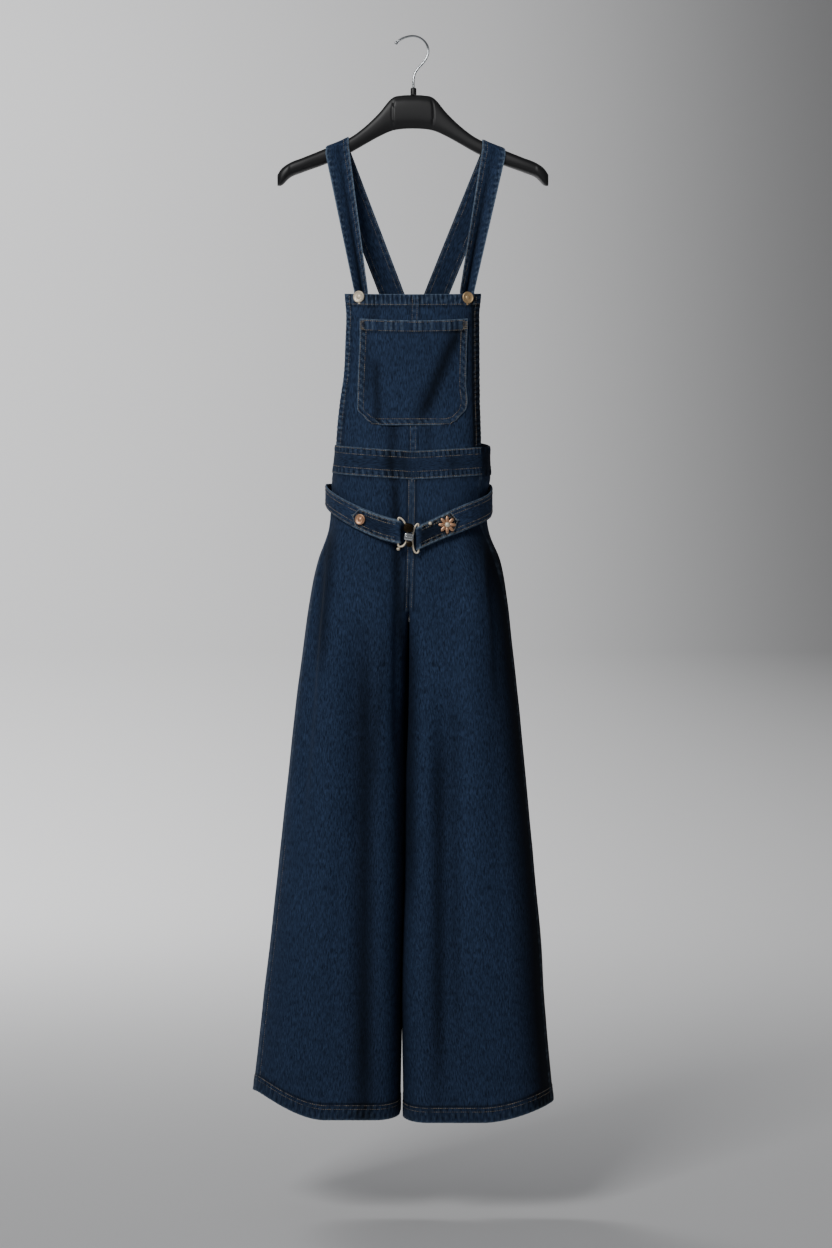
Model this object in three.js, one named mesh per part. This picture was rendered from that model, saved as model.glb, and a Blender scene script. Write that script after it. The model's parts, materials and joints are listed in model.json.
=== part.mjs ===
import * as THREE from 'three';
import { mergeVertices } from 'three/addons/utils/BufferGeometryUtils.js';

// Wide-legged denim dungarees with their own belt, hung by the straps on a shoulder hanger.
// Millimetres. +Z is up, -Y is the front, +X is the viewer's right, and the origin is inside
// the top of the hook. Left and right in a name are the wearer's.

// Cloth
const GAP = 0.3;
const LAID = 0.9;
const DENIM = 1.3;
const TURNED = 2.6;
const STRAP = 2.4;
const BELT = 2.4;

// Heights of the garment, down from the top of the hook
const BIB_TOP = -396;
const WAIST_RIGHT = -629;
const WAIST_LEFT = -635;
const WAIST_BACK = -612;
const WAIST_DIP = 14;
const WAISTBAND = 43;
const CROTCH = -885;
const CROTCH_LENGTH = 45;
const HEM_RIGHT = -1651;
const HEM_LEFT = -1655;
const HEM_RISE_RIGHT = 35;
const HEM_RISE_LEFT = 21;
const HEM = 24;

// Widths of the flat pieces
const STRAP_WIDE = 38;
const BELT_WIDE = 37;
const BIB_HEM = 9;
const BIB_TOP_HEM = 18;

// Roundness of the body: 2 is an ellipse
const ROUND = 2.3;

// Half widths to the wearer's right and left, half depth, the line between the legs, how far
// the front sinks in along that line, and how much of the front is flat
const BODY = [
  { z: -600, right: 117, left: 117, depth: 80, split: -1, sink: 0, flat: 0.34 },
  { z: -640, right: 119, left: 119, depth: 83, split: -1, sink: 0, flat: 0.35 },
  { z: -676, right: 123, left: 120, depth: 88, split: -1, sink: 0, flat: 0.36 },
  { z: -713, right: 125, left: 114, depth: 94, split: -1, sink: 0, flat: 0.37 },
  { z: -759, right: 129, left: 117, depth: 98, split: -2, sink: 1, flat: 0.38 },
  { z: -805, right: 145, left: 135, depth: 102, split: -4, sink: 5, flat: 0.4 },
  { z: -867, right: 158, left: 146, depth: 105, split: -9, sink: 18, flat: 0.43 },
  { z: -929, right: 167, left: 153, depth: 105, split: -13, sink: 42, flat: 0.46 },
  { z: -1021, right: 179, left: 163, depth: 104, split: -14, sink: 58, flat: 0.48 },
  { z: -1113, right: 189, left: 172, depth: 101, split: -15, sink: 62, flat: 0.5 },
  { z: -1206, right: 199, left: 181, depth: 99, split: -15, sink: 62, flat: 0.5 },
  { z: -1298, right: 209, left: 189, depth: 97, split: -16, sink: 62, flat: 0.5 },
  { z: -1391, right: 219, left: 198, depth: 95, split: -16, sink: 62, flat: 0.5 },
  { z: -1483, right: 230, left: 203, depth: 94, split: -17, sink: 62, flat: 0.5 },
  { z: -1575, right: 240, left: 211, depth: 93, split: -17, sink: 62, flat: 0.5 },
  { z: -1665, right: 251, left: 220, depth: 92, split: -17, sink: 62, flat: 0.5 },
];
const SINK_WIDE = 38;

// Share of a panel's columns that lie outside the sunk edge
const PLAIN_SHARE = 0.76;

// Long soft folds of the legs: a centre line from top to foot, how wide, and how far out
const FRONT_FOLDS = [
  { top: -790, foot: -1480, xTop: -116, xFoot: -142, wide: 22, out: 6 },
  { top: -770, foot: -1260, xTop: -134, xFoot: -176, wide: 10, out: -7 },
  { top: -880, foot: -1600, xTop: -86, xFoot: -74, wide: 20, out: -9 },
  { top: -800, foot: -1540, xTop: -56, xFoot: -54, wide: 17, out: 5 },
  { top: -960, foot: -1640, xTop: 50, xFoot: 52, wide: 20, out: -9 },
  { top: -800, foot: -1420, xTop: 88, xFoot: 92, wide: 22, out: 6 },
  { top: -775, foot: -1060, xTop: 116, xFoot: 136, wide: 10, out: -7 },
];
const BACK_FOLDS = [
  { top: -800, foot: -1500, xTop: -112, xFoot: -146, wide: 22, out: 6 },
  { top: -860, foot: -1600, xTop: -78, xFoot: -88, wide: 20, out: -8 },
  { top: -820, foot: -1460, xTop: 52, xFoot: 60, wide: 20, out: -7 },
  { top: -790, foot: -1560, xTop: 92, xFoot: 118, wide: 22, out: 6 },
];

// Edges of the bib, from its top down
const BIB = [
  { z: -380, right: -104, left: 105.5, seam: 4 },
  { z: -396, right: -104, left: 105.5, seam: 4 },
  { z: -430, right: -101.5, left: 102.5, seam: 3.5 },
  { z: -466, right: -102.5, left: 102.5, seam: 3 },
  { z: -528, right: -105.5, left: 102.5, seam: 2.2 },
  { z: -559, right: -110, left: 102.5, seam: 1.6 },
  { z: -620, right: -116, left: 104, seam: 1 },
  { z: -650, right: -117, left: 104, seam: 1 },
];
const BIB_LEAN = -35;
const BIB_CURL = 28;
const BIB_HALF = 105;

// Pocket on the bib: its two edges, from its mouth down to its cut-off corners
const POCKET = [
  { z: -437, right: -79.5, left: 83 },
  { z: -456, right: -79.6, left: 83 },
  { z: -458, right: -79.6, left: 82.9 },
  { z: -500, right: -81, left: 81.5 },
  { z: -540, right: -82.3, left: 80.6 },
  { z: -578, right: -82.8, left: 80.2 },
  { z: -589, right: -73.2, left: 71 },
  { z: -599, right: -63, left: 60 },
  { z: -603.5, right: -47, left: 42 },
];
const POCKET_SAG = 5;

// Straps: where each leaves the hanger and where it meets the bib and the back waistband
const STRAPS = [
  { name: 'strap_right', hanger: -115.8, bib: -81, back: 55, bibWide: 22, over: 0 },
  { name: 'strap_left', hanger: 125, bib: 86, back: -56, bibWide: 23, over: 6.6 },
];
const STRAP_END = -424;

// Hanger: the arm's top and bottom edges and half thickness by distance from the middle
const HANGER_X = 0.6;
const HANGER = [
  { out: 0, top: -89.3, foot: -140.8, half: 7 },
  { out: 16, top: -89.8, foot: -141.5, half: 7 },
  { out: 32, top: -94, foot: -144.2, half: 7 },
  { out: 52, top: -117, foot: -153, half: 7.4 },
  { out: 72, top: -136.5, foot: -164, half: 8 },
  { out: 96, top: -154.6, foot: -177.6, half: 9 },
  { out: 136, top: -172.5, foot: -195.8, half: 11 },
  { out: 170, top: -186.4, foot: -208, half: 13.5 },
  { out: 190, top: -194.5, foot: -216.5, half: 14 },
  { out: 203, top: -204, foot: -228.5, half: 12 },
  { out: 208.5, top: -212, foot: -229, half: 8 },
];
const HANGER_ROUND = 2.6;
const PANEL_HALF = 31;
const PANEL_RAISED = 1.2;
const HANGER_STATIONS = [
  0, 14, PANEL_HALF - 1, PANEL_HALF + 1, 40, 52, 62, 72, 84, 90, 96, 102, 108, 116, 126, 136,
  156, 174, 190, 199, 205, 208.5,
];

// Wire hook, from its tip over the top and down to the collar
const WIRE = 1.75;
const HOOK = [
  { x: -27, z: -10.8 }, { x: -20, z: -4.6 }, { x: -11, z: -0.2 }, { x: 0, z: 1.75 },
  { x: 10, z: -0.4 }, { x: 18.5, z: -6.6 }, { x: 23.3, z: -14.4 }, { x: 24.2, z: -22.4 },
  { x: 22, z: -31 }, { x: 16, z: -40 }, { x: 8.5, z: -48.2 }, { x: 3.4, z: -56.5 },
  { x: 1.6, z: -66 }, { x: 1.5, z: -78 },
];
const COLLAR = 4.6;
const COLLAR_TOP = -78.3;

// Belt: its middle line round the body, from the fold at the left ring to the other fold
const BELT_ROUTE = [
  { x: -21, y: -107.5, z: -766 }, { x: -44, y: -106, z: -760 }, { x: -74, y: -100, z: -748 },
  { x: -104, y: -82, z: -732 }, { x: -124, y: -50, z: -718 }, { x: -133, y: -6, z: -706 },
  { x: -128, y: 44, z: -701 }, { x: -106, y: 82, z: -699 }, { x: -60, y: 105, z: -698 },
  { x: 0, y: 110, z: -698 }, { x: 56, y: 106, z: -699 }, { x: 96, y: 84, z: -701 },
  { x: 117, y: 46, z: -704 }, { x: 122, y: 0, z: -711 }, { x: 117, y: -46, z: -724 },
  { x: 103, y: -78, z: -733 }, { x: 84, y: -97, z: -741.5 }, { x: 57, y: -105, z: -753 },
  { x: 28, y: -107.5, z: -766 }, { x: 9, y: -109, z: -775 },
];
const LOOP_X = 38;
const LOOP = [
  { z: -659, out: 0 }, { z: -667, out: 0 }, { z: -675, out: 112.4 }, { z: -698, out: 112.4 },
  { z: -721, out: 112.4 }, { z: -729, out: 0 }, { z: -737, out: 0 },
];
const TAB_RIGHT = 76;
const TAB_LEFT = 66;
const FOLD_R = 3.1;

// Metal pieces, with the distance along a tab from its fold to what is fastened on it
const BIB_BUTTON = 9.3;
const BIB_BUTTONS = [
  { name: 'bib_button_right', x: -81, z: -402.7 },
  { name: 'bib_button_left', x: 83.5, z: -404 },
];
const BELT_BUTTON = 8.3;
const BELT_BUTTON_FROM = 59;
const FLOWER = 13.4;
const FLOWER_THICK = 2.4;
const FLOWER_FROM = 47;
const PETALS = 8;
const BEAD_FROM = 19;
const BEAD_DOWN = 5;
const RING_WIRE = 1.5;
const RING_TALL = 46;
const RING_CORNER = 2;
const RING_RIGHT = 17;
const RING_LEFT = 13;

// The clasp between the rings: a block, a bright plate and a tongue
const CLASP = [
  { name: 'clasp_top', wide: 16, tall: 14.6, deep: 6, corner: 2, x: -6, z: -760.2, metal: 'brass' },
  { name: 'clasp_plate', wide: 15.4, tall: 12, deep: 7, corner: 1.6, x: -5.4, z: -773.8, metal: 'steel' },
  { name: 'clasp_tongue', wide: 8.6, tall: 9, deep: 4, corner: 1.4, x: -4.6, z: -784.6, metal: 'brass' },
];

const MATERIALS = {
  denim: new THREE.MeshStandardMaterial({ color: 0x1c2b3f, roughness: 0.9, side: THREE.DoubleSide }),
  plastic: new THREE.MeshStandardMaterial({ color: 0x1d1d1f, roughness: 0.5 }),
  steel: new THREE.MeshStandardMaterial({ color: 0xb4b8ba, roughness: 0.25, metalness: 1 }),
  brass: new THREE.MeshStandardMaterial({ color: 0xb08d62, roughness: 0.35, metalness: 1 }),
};

const smooth = THREE.MathUtils.smoothstep;
const mix = THREE.MathUtils.lerp;
const clamp = THREE.MathUtils.clamp;
const model = new THREE.Group();

function add(name, geometry, material) {
  const mesh = new THREE.Mesh(geometry, material);
  mesh.name = name;
  model.add(mesh);
  return mesh;
}

// Reads one column of a table at a value of its key column, on a smooth curve through the rows.
function column(table, key, at, by = 'z') {
  const down = table[0][by] > table[table.length - 1][by] ? -1 : 1;
  const last = table.length - 1;
  let k = 0;
  while (k < last - 1 && down * table[k + 1][by] < down * at) k += 1;
  const slope = (i, j) => (table[j][key] - table[i][key]) / (table[j][by] - table[i][by]);
  const here = slope(k, k + 1);
  const before = k > 0 ? slope(k - 1, k) : here;
  const after = k + 1 < last ? slope(k + 1, k + 2) : here;
  const ease = (a, b) => (a * b <= 0 ? 0 : (a + b) / 2);
  const span = table[k + 1][by] - table[k][by];
  const t = clamp((at - table[k][by]) / span, 0, 1);
  const m0 = k > 0 ? ease(before, here) : here;
  const m1 = k + 1 < last ? ease(here, after) : here;
  const a = table[k][key];
  const b = table[k + 1][key];
  return a * (1 + 2 * t) * (1 - t) ** 2 + b * t * t * (3 - 2 * t)
    + span * (m0 * t * (1 - t) ** 2 - m1 * t * t * (1 - t));
}

// A closed wall between two grids of points, with its four edges.
function wall(outer, inner) {
  const rows = outer.length;
  const cols = outer[0].length;
  const points = [...outer.flat(), ...inner.flat()];
  const at = (layer, i, j) => layer * rows * cols + i * cols + j;
  const index = [];
  const quad = (a, b, c, d) => index.push(a, b, c, a, c, d);
  for (let i = 0; i < rows - 1; i += 1) {
    for (let j = 0; j < cols - 1; j += 1) {
      quad(at(0, i, j), at(0, i, j + 1), at(0, i + 1, j + 1), at(0, i + 1, j));
      quad(at(1, i, j), at(1, i + 1, j), at(1, i + 1, j + 1), at(1, i, j + 1));
    }
    quad(at(0, i, 0), at(0, i + 1, 0), at(1, i + 1, 0), at(1, i, 0));
    quad(at(0, i + 1, cols - 1), at(0, i, cols - 1), at(1, i, cols - 1), at(1, i + 1, cols - 1));
  }
  for (let j = 0; j < cols - 1; j += 1) {
    quad(at(0, 0, j + 1), at(0, 0, j), at(1, 0, j), at(1, 0, j + 1));
    quad(at(0, rows - 1, j), at(0, rows - 1, j + 1), at(1, rows - 1, j + 1), at(1, rows - 1, j));
  }
  return solid(points, index);
}

// A geometry from points and triangles, with its faces turned outwards.
function solid(points, index) {
  let volume = 0;
  for (let k = 0; k < index.length; k += 3) {
    const [a, b, c] = [points[index[k]], points[index[k + 1]], points[index[k + 2]]];
    volume += a.dot(new THREE.Vector3().crossVectors(b, c));
  }
  const geometry = new THREE.BufferGeometry();
  const places = points.flatMap((p) => [p.x, p.y, p.z]);
  geometry.setAttribute('position', new THREE.Float32BufferAttribute(places, 3));
  geometry.setIndex(volume < 0 ? index.reverse() : index);
  geometry.computeVertexNormals();
  return geometry;
}

const vec = (x, y, z) => new THREE.Vector3(x, y, z);
const steps = (count) => Array.from({ length: count + 1 }, (_, k) => k / count);

// The body's outline at one height, from the side seam round to the line between the legs.
// side is -1 to the wearer's right and 1 to the left, face is -1 in front and 1 behind.
// The outer part is a quarter superellipse, and the inner part sinks in on a quarter ellipse.
// It comes in two stretches, parted half way along the sunk edge.
function outline(side, face, z) {
  const outer = column(BODY, side < 0 ? 'right' : 'left', z);
  const depth = column(BODY, 'depth', z);
  const apart = mix(0.2, 2.6, smooth(-z, 1480, 1640));
  const inner = side * column(BODY, 'split', z) + apart;
  const middle = mix(inner, outer, column(BODY, 'flat', z));
  const seamBack = side < 0 ? mix(1, 7, smooth(-z, 640, 900)) : mix(15, 3, smooth(-z, 640, 900));
  const seam = Math.acos((1 - seamBack / (outer - middle)) ** (ROUND / 2));
  const sink = column(BODY, 'sink', z);
  const sinkWide = Math.min(SINK_WIDE, middle - inner);
  const power = (v) => Math.sign(v) * Math.abs(v) ** (2 / ROUND);
  const sunk = (s) => {
    const x = inner + sinkWide * (1 - Math.sin(s * Math.PI / 2));
    return [side * x, face * (depth - sink * (1 - Math.cos(s * Math.PI / 2)))];
  };
  const from = face < 0 ? seam : -seam;
  const plain = steps(26).map((s) => {
    const t = mix(from, Math.PI / 2, s);
    return [side * (middle + (outer - middle) * power(Math.cos(t))), face * depth * power(Math.sin(t))];
  });
  plain.push(...steps(4).map((s) => sunk(s / 2)));
  const edge = steps(4).map((s) => sunk((1 + s) / 2));
  const end = mix(depth - sink, 0.2, smooth(-z, -CROTCH, -CROTCH + CROTCH_LENGTH));
  if (end < depth - sink - 0.5) edge.push([side * inner, face * end]);
  return [plain, edge];
}

// The point at a share of the way along a line of points.
function pointAlong(line, share, start = 0) {
  const lengths = [0];
  for (let k = 1; k < line.length; k += 1) {
    lengths.push(lengths[k - 1] + Math.hypot(line[k][0] - line[k - 1][0], line[k][1] - line[k - 1][1]));
  }
  const at = mix(start, lengths[lengths.length - 1], share);
  let k = 1;
  while (k < line.length - 1 && lengths[k] < at) k += 1;
  const t = (at - lengths[k - 1]) / (lengths[k] - lengths[k - 1]);
  return [mix(line[k - 1][0], line[k][0], t), mix(line[k - 1][1], line[k][1], t)];
}

function foldDepth(face, x, z) {
  const folds = face < 0 ? FRONT_FOLDS : BACK_FOLDS;
  return folds.reduce((sum, fold) => {
    const s = (z - fold.top) / (fold.foot - fold.top);
    if (s <= 0 || s >= 1) return sum;
    const off = (x - mix(fold.xTop, fold.xFoot, s)) / fold.wide;
    return sum + fold.out * Math.exp(-off * off) * smooth(s, 0, 0.2) * (1 - smooth(s, 0.7, 1));
  }, 0);
}

// A point of the body at share u of the way from the side seam to the middle, moved out.
function bodyPoint(side, face, u, z, out = 0) {
  const [plain, edge] = outline(side, face, z);
  const place = (share) => (share < PLAIN_SHARE
    ? pointAlong(plain, share / PLAIN_SHARE, GAP / 2)
    : pointAlong(edge, (share - PLAIN_SHARE) / (1 - PLAIN_SHARE)));
  const [x, y] = place(u);
  const a = place(Math.max(u - 0.02, 0));
  const b = place(Math.min(u + 0.02, 1));
  const turn = -side * face / Math.hypot(b[0] - a[0], b[1] - a[1]);
  const lift = smooth(u, 0, 0.05) * (1 - smooth(u, 0.9, 1)) * foldDepth(face, x, z) + out;
  return vec(x - (b[1] - a[1]) * turn * lift, y + (b[0] - a[0]) * turn * lift, z);
}

// Height of the waistband's top edge: it dips at the centre front and rises at the back.
function waistTop(side, face, u) {
  const seam = side < 0 ? WAIST_RIGHT : WAIST_LEFT;
  const dip = side < 0 ? WAIST_DIP : WAIST_DIP - (WAIST_RIGHT - WAIST_LEFT);
  if (face < 0) return seam - dip * Math.sin(u * Math.PI / 2);
  return mix(seam, WAIST_BACK, smooth(u, 0, 0.7));
}

function hemFoot(side, u) {
  const rise = side < 0 ? HEM_RISE_RIGHT : HEM_RISE_LEFT;
  return (side < 0 ? HEM_RIGHT : HEM_LEFT) + rise * (1 - smooth(u, 0, 0.42));
}

// One leg panel, from the waistband to its turned hem, with two layers in the hem.
function leg(name, side, face) {
  const shares = steps(18);
  const falls = [...steps(17).map((s) => [s, 0]), [1, 1], [1, HEM]];
  const grid = (depth) => falls.map(([s, below]) => shares.map((u) => {
    const top = waistTop(side, face, u) - WAISTBAND - GAP;
    const foot = hemFoot(side, u) + HEM;
    return bodyPoint(side, face, u, mix(top, foot, s) - below, below ? depth[1] : depth[0]);
  }));
  add(name, wall(grid([0, 0.5]), grid([-DENIM, 0.5 - TURNED])), MATERIALS.denim);
}

// Half of the waistband, round from seam to seam.
function waistband(name, face) {
  const shares = steps(32).map((s) => 2 * s - 1);
  const grid = (out) => [1, 0.5, 0].map((s) => shares.map((a) => {
    const side = a < 0 ? -1 : 1;
    const u = 1 - Math.abs(a);
    return bodyPoint(side, face, u, waistTop(side, face, u) - WAISTBAND * (1 - s), out);
  }));
  add(name, wall(grid(1), grid(1 - TURNED - 0.4)), MATERIALS.denim);
}

// Depth of the bib's outside at a place: the waist's curve below, a shallow curl at the top.
function bibY(x, z) {
  const depth = column(BODY, 'depth', -640);
  const outer = column(BODY, 'right', -640);
  const middle = outer * column(BODY, 'flat', -640);
  const over = clamp((Math.abs(x) - middle) / (outer - middle), 0, 1);
  const low = -depth * (1 - over ** ROUND) ** (1 / ROUND);
  const high = BIB_LEAN + BIB_CURL * (x / BIB_HALF) ** 2;
  return mix(low, high, clamp((z + 640) / (BIB_TOP + 640), 0, 1.1));
}

const bibTop = (x) => BIB_TOP - 4.5 * (1 - (x / BIB_HALF) ** 2);

// A point on the bib, moved out along its level normal.
function bibPoint(x, z, out) {
  const slope = (bibY(x + 1, z) - bibY(x - 1, z)) / 2;
  const length = Math.hypot(slope, 1);
  return vec(x + out * slope / length, bibY(x, z) - out / length, z);
}

// The share of the waist's top edge, in front or behind, that lies at this x, by halving.
function shareAt(side, face, x) {
  let [low, high] = [face < 0 ? 0 : 0.3, 1];
  for (let k = 0; k < 20; k += 1) {
    const u = (low + high) / 2;
    if (side * bodyPoint(side, face, u, waistTop(side, face, u) + GAP).x > side * x) low = u;
    else high = u;
  }
  return low;
}

// Half of the bib, with a turned hem at its side and top. Each column starts from the
// waistband's edge and keeps its share of the bib's width all the way up.
function bib(name, side) {
  const edge = side < 0 ? 'right' : 'left';
  const from = column(BIB, edge, -630);
  const to = column(BIB, 'seam', -630) + side * GAP / 2;
  const inside = [0, BIB_HEM - 1, BIB_HEM];
  for (const s of steps(9).slice(1)) inside.push(mix(BIB_HEM, Math.abs(to - from), s));
  const heights = [...steps(10).map((s) => [s, BIB_TOP_HEM]), [1, BIB_TOP_HEM - 1], [1, 0]];
  const grid = (layer) => heights.map(([rise, below]) => inside.map((reach) => {
    const low = waistTop(side, -1, shareAt(side, -1, from - side * reach)) + GAP;
    const guess = mix(low, BIB_TOP - below, rise);
    const seam = column(BIB, 'seam', guess) + side * GAP / 2;
    const x = mix(column(BIB, edge, guess), seam, reach / Math.abs(to - from));
    const z = mix(low, bibTop(x) - below, rise);
    const turned = reach < BIB_HEM || below < BIB_TOP_HEM;
    return bibPoint(x, z, layer ? -(turned ? TURNED : DENIM) : 0);
  }));
  add(name, wall(grid(0), grid(1)), MATERIALS.denim);
}

// Patch pocket on the bib's points, with two layers at its mouth.
function pocket() {
  const grid = (layer) => POCKET.map((row, k) => steps(14).map((s) => {
    const x = mix(row.right, row.left, s);
    const z = row.z - (k < 3 ? POCKET_SAG * (1 - (2 * s - 1) ** 2) : 0);
    const turned = k < 2;
    return bibPoint(x, z, LAID + (layer ? 0 : (turned ? TURNED : DENIM)));
  }));
  add('bib_pocket', wall(grid(0), grid(1)), MATERIALS.denim);
}

function hangerAt(x) {
  const out = Math.abs(x - HANGER_X);
  const top = column(HANGER, 'top', out, 'out');
  const foot = column(HANGER, 'foot', out, 'out');
  return { middle: (top + foot) / 2, tall: (top - foot) / 2, half: column(HANGER, 'half', out, 'out') };
}

// A strap: straight from the bib up to the hanger, over it, and straight down to the back.
// Its front run narrows towards the button in one lengthwise fold.
function strap({ name, hanger, bib: bibX, back, bibWide, over }) {
  const across = [-1, -0.5, 0, 0.5, 1];
  const power = (v) => Math.sign(v) * Math.abs(v) ** (2 / HANGER_ROUND);
  const onHanger = (q, turn, out) => {
    const x = hanger + q * (STRAP_WIDE / 2) * 0.93;
    const arm = hangerAt(x);
    const y = -(arm.half + 2 * GAP + out) * power(Math.cos(turn));
    return vec(x, y, arm.middle + (arm.tall + 2 * GAP + out) * power(Math.sin(turn)));
  };
  const fold = (q, s) => {
    const half = mix(STRAP_WIDE, bibWide, s) / 2;
    return 0.8 * Math.sqrt(Math.max((STRAP_WIDE / 2) ** 2 - half ** 2, 0)) * (1 - Math.abs(q));
  };
  const atBib = (q, z) => bibPoint(bibX + q * bibWide / 2, z, -TURNED - GAP - STRAP);
  const grid = (layer) => {
    const out = layer ? 0 : STRAP;
    const rows = [STRAP_END, (STRAP_END + BIB_TOP) / 2, BIB_TOP + 3].map((z) => across.map((q) => {
      const at = atBib(q, z);
      return vec(at.x, at.y + fold(q, 1) - out, z);
    }));
    for (const s of steps(7).slice(1, -1)) {
      rows.push(across.map((q) => {
        const at = atBib(q, BIB_TOP + 3).lerp(onHanger(q, 0, 0), s);
        return vec(at.x, at.y + fold(q, 1 - s) - out, at.z);
      }));
    }
    for (const s of steps(8)) rows.push(across.map((q) => onHanger(q, s * Math.PI, out)));
    for (const s of steps(14).slice(1)) {
      rows.push(across.map((q) => {
        const half = Math.sign(back);
        const u = shareAt(half, 1, back + q * (STRAP_WIDE / 2) * 1.06);
        const foot = bodyPoint(half, 1, u, waistTop(half, 1, u) + GAP, -STRAP / 2 - 0.6);
        const at = onHanger(q, Math.PI, 0).lerp(foot, s);
        const lift = over * smooth(s, 0.3, 0.55) * (1 - smooth(s, 0.88, 1));
        return vec(at.x, at.y + lift + out, at.z);
      }));
    }
    return rows;
  };
  add(name, wall(grid(0), grid(1)), MATERIALS.denim);
}

// A band along a path, with its way up and its half height at each point.
function band(path, ups, halves, thick) {
  const normals = path.map((p, k) => {
    const before = path[Math.max(k - 1, 0)];
    const after = path[Math.min(k + 1, path.length - 1)];
    return new THREE.Vector3().crossVectors(after.clone().sub(before), ups[k]).normalize();
  });
  const grid = (side) => [1, -1].map((end) => path.map((p, k) => p.clone()
    .addScaledVector(ups[k], end * halves[k]).addScaledVector(normals[k], side * thick / 2)));
  return wall(grid(1), grid(-1));
}

const beltPoints = BELT_ROUTE.map(({ x, y, z }) => vec(x, y, z));
const beltCurve = new THREE.CatmullRomCurve3(beltPoints, false, 'centripetal');

// A frame on the belt's middle line: the point, the way along, up and out of the body. The
// belt's ends hang upright, and between them its edges follow its slope.
function beltFrame(at) {
  const along = beltCurve.getTangentAt(at);
  const sloped = smooth(Math.min(at, 1 - at), 0.02, 0.14);
  const up = vec(0, 0, 1).addScaledVector(along, -along.z * sloped).normalize();
  const out = new THREE.Vector3().crossVectors(up, along).normalize();
  return { p: beltCurve.getPointAt(at), along, up, out, half: beltHalf(at) };
}

// Half the height that the belt shows: it leans back where it comes round the right hip.
const beltHalf = (at) => BELT_WIDE / 2 * (1 - 0.16 * smooth(at, 0.03, 0.12) * (1 - smooth(at, 0.3, 0.4)));

const beltLength = beltCurve.getLength();

// The belt: one strip round the body, each end turned back over a ring to a pointed tab.
function beltStrip() {
  const share = (end, from) => (end ? 1 - from / beltLength : from / beltLength);
  const tab = (end, reach) => steps(10).map((s) => {
    const { p, out, up, half } = beltFrame(share(end, s * reach));
    const lift = mix(2 * FOLD_R, BELT + 0.6, smooth(s * reach, 2, 20));
    const point = mix(1, 0.06, smooth(s * reach, reach - 13, reach));
    return { p: p.addScaledVector(out, lift), up, half: (half - 1.5) * point };
  });
  const turn = (end) => steps(5).slice(1, -1).map((s) => {
    const { p, out, along, up, half } = beltFrame(end);
    const angle = (end ? s : 1 - s) * Math.PI;
    p.addScaledVector(out, FOLD_R * (1 - Math.cos(angle)));
    p.addScaledVector(along, (end ? 1 : -1) * FOLD_R * Math.sin(angle));
    return { p, up, half: half - 1.8 };
  });
  const round = steps(64).map(beltFrame);
  const run = [...tab(0, TAB_RIGHT).reverse(), ...turn(0), ...round, ...turn(1), ...tab(1, TAB_LEFT)];
  const list = (key) => run.map((row) => row[key]);
  add('belt_strip', band(list('p'), list('up'), list('half'), BELT), MATERIALS.denim);
}

// A loop at the back that holds the belt: out over it and back to the body at both ends.
function beltLoop(name, x) {
  const side = Math.sign(x);
  const share = shareAt(side, 1, x);
  const path = LOOP.map(({ z, out }) => {
    const at = bodyPoint(side, 1, share, z, 1.3);
    return vec(x, out || at.y, z);
  });
  add(name, band(path, path.map(() => vec(1, 0, 0)), path.map(() => 5), 1.6), MATERIALS.denim);
}

// A round wire along points, closed on itself or with an end at each side.
function wire(points, radii, sides, closed) {
  const count = points.length;
  const rings = points.map((p, k) => {
    const before = points[closed ? (k + count - 1) % count : Math.max(k - 1, 0)];
    const after = points[closed ? (k + 1) % count : Math.min(k + 1, count - 1)];
    const along = after.clone().sub(before).normalize();
    const level = vec(0, 1, 0).addScaledVector(along, -along.y).normalize();
    const other = new THREE.Vector3().crossVectors(along, level);
    return steps(sides).slice(1).map((s) => p.clone()
      .addScaledVector(level, radii[k] * Math.cos(2 * Math.PI * s))
      .addScaledVector(other, radii[k] * Math.sin(2 * Math.PI * s)));
  });
  const index = [];
  for (let k = 0; k < (closed ? count : count - 1); k += 1) {
    for (let j = 0; j < sides; j += 1) {
      const [a, b] = [k * sides + j, k * sides + (j + 1) % sides];
      const [c, d] = [((k + 1) % count) * sides + j, ((k + 1) % count) * sides + (j + 1) % sides];
      index.push(a, b, d, a, d, c);
    }
  }
  for (let j = 1; !closed && j < sides - 1; j += 1) {
    const last = (count - 1) * sides;
    index.push(0, j + 1, j, last, last + j, last + j + 1);
  }
  return solid(rings.flat(), index);
}

// A ring in the shape of a D: a straight bar in the belt's fold, round corners, and a bow of
// half an ellipse towards the middle.
function beltRing(name, end, wide) {
  const { p, along, up, out } = beltFrame(end);
  const way = end ? 1 : -1;
  const centre = p.addScaledVector(out, FOLD_R);
  const tall = RING_TALL / 2 - RING_WIRE;
  const bow = wide - 2 * RING_WIRE - RING_CORNER;
  const bar = tall - RING_CORNER;
  const arc = (turn) => [RING_CORNER * (1 - Math.cos(turn)), bar + RING_CORNER * Math.sin(turn)];
  const corner = steps(4).map((s) => arc(s * Math.PI / 2));
  const round = steps(16).slice(1, -1).map((s) => {
    const t = (0.5 - s) * Math.PI;
    return [RING_CORNER + bow * Math.cos(t), tall * Math.sin(t)];
  });
  const foot = corner.map(([x, z]) => [x, -z]).reverse();
  const places = [[0, -bar / 3], [0, bar / 3], ...corner, ...round, ...foot];
  const points = places.map(([x, z]) => centre.clone()
    .addScaledVector(up, z).addScaledVector(along, way * x));
  add(name, wire(points, points.map(() => RING_WIRE), 8, true), MATERIALS.steel);
}

function lathe(name, rows, at, normal, material, sides = 20) {
  const geometry = new THREE.LatheGeometry(rows.map(([r, y]) => new THREE.Vector2(r, y)), sides);
  const mesh = add(name, geometry, material);
  mesh.quaternion.setFromUnitVectors(vec(0, 1, 0), normal);
  mesh.position.copy(at);
  return mesh;
}

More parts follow.
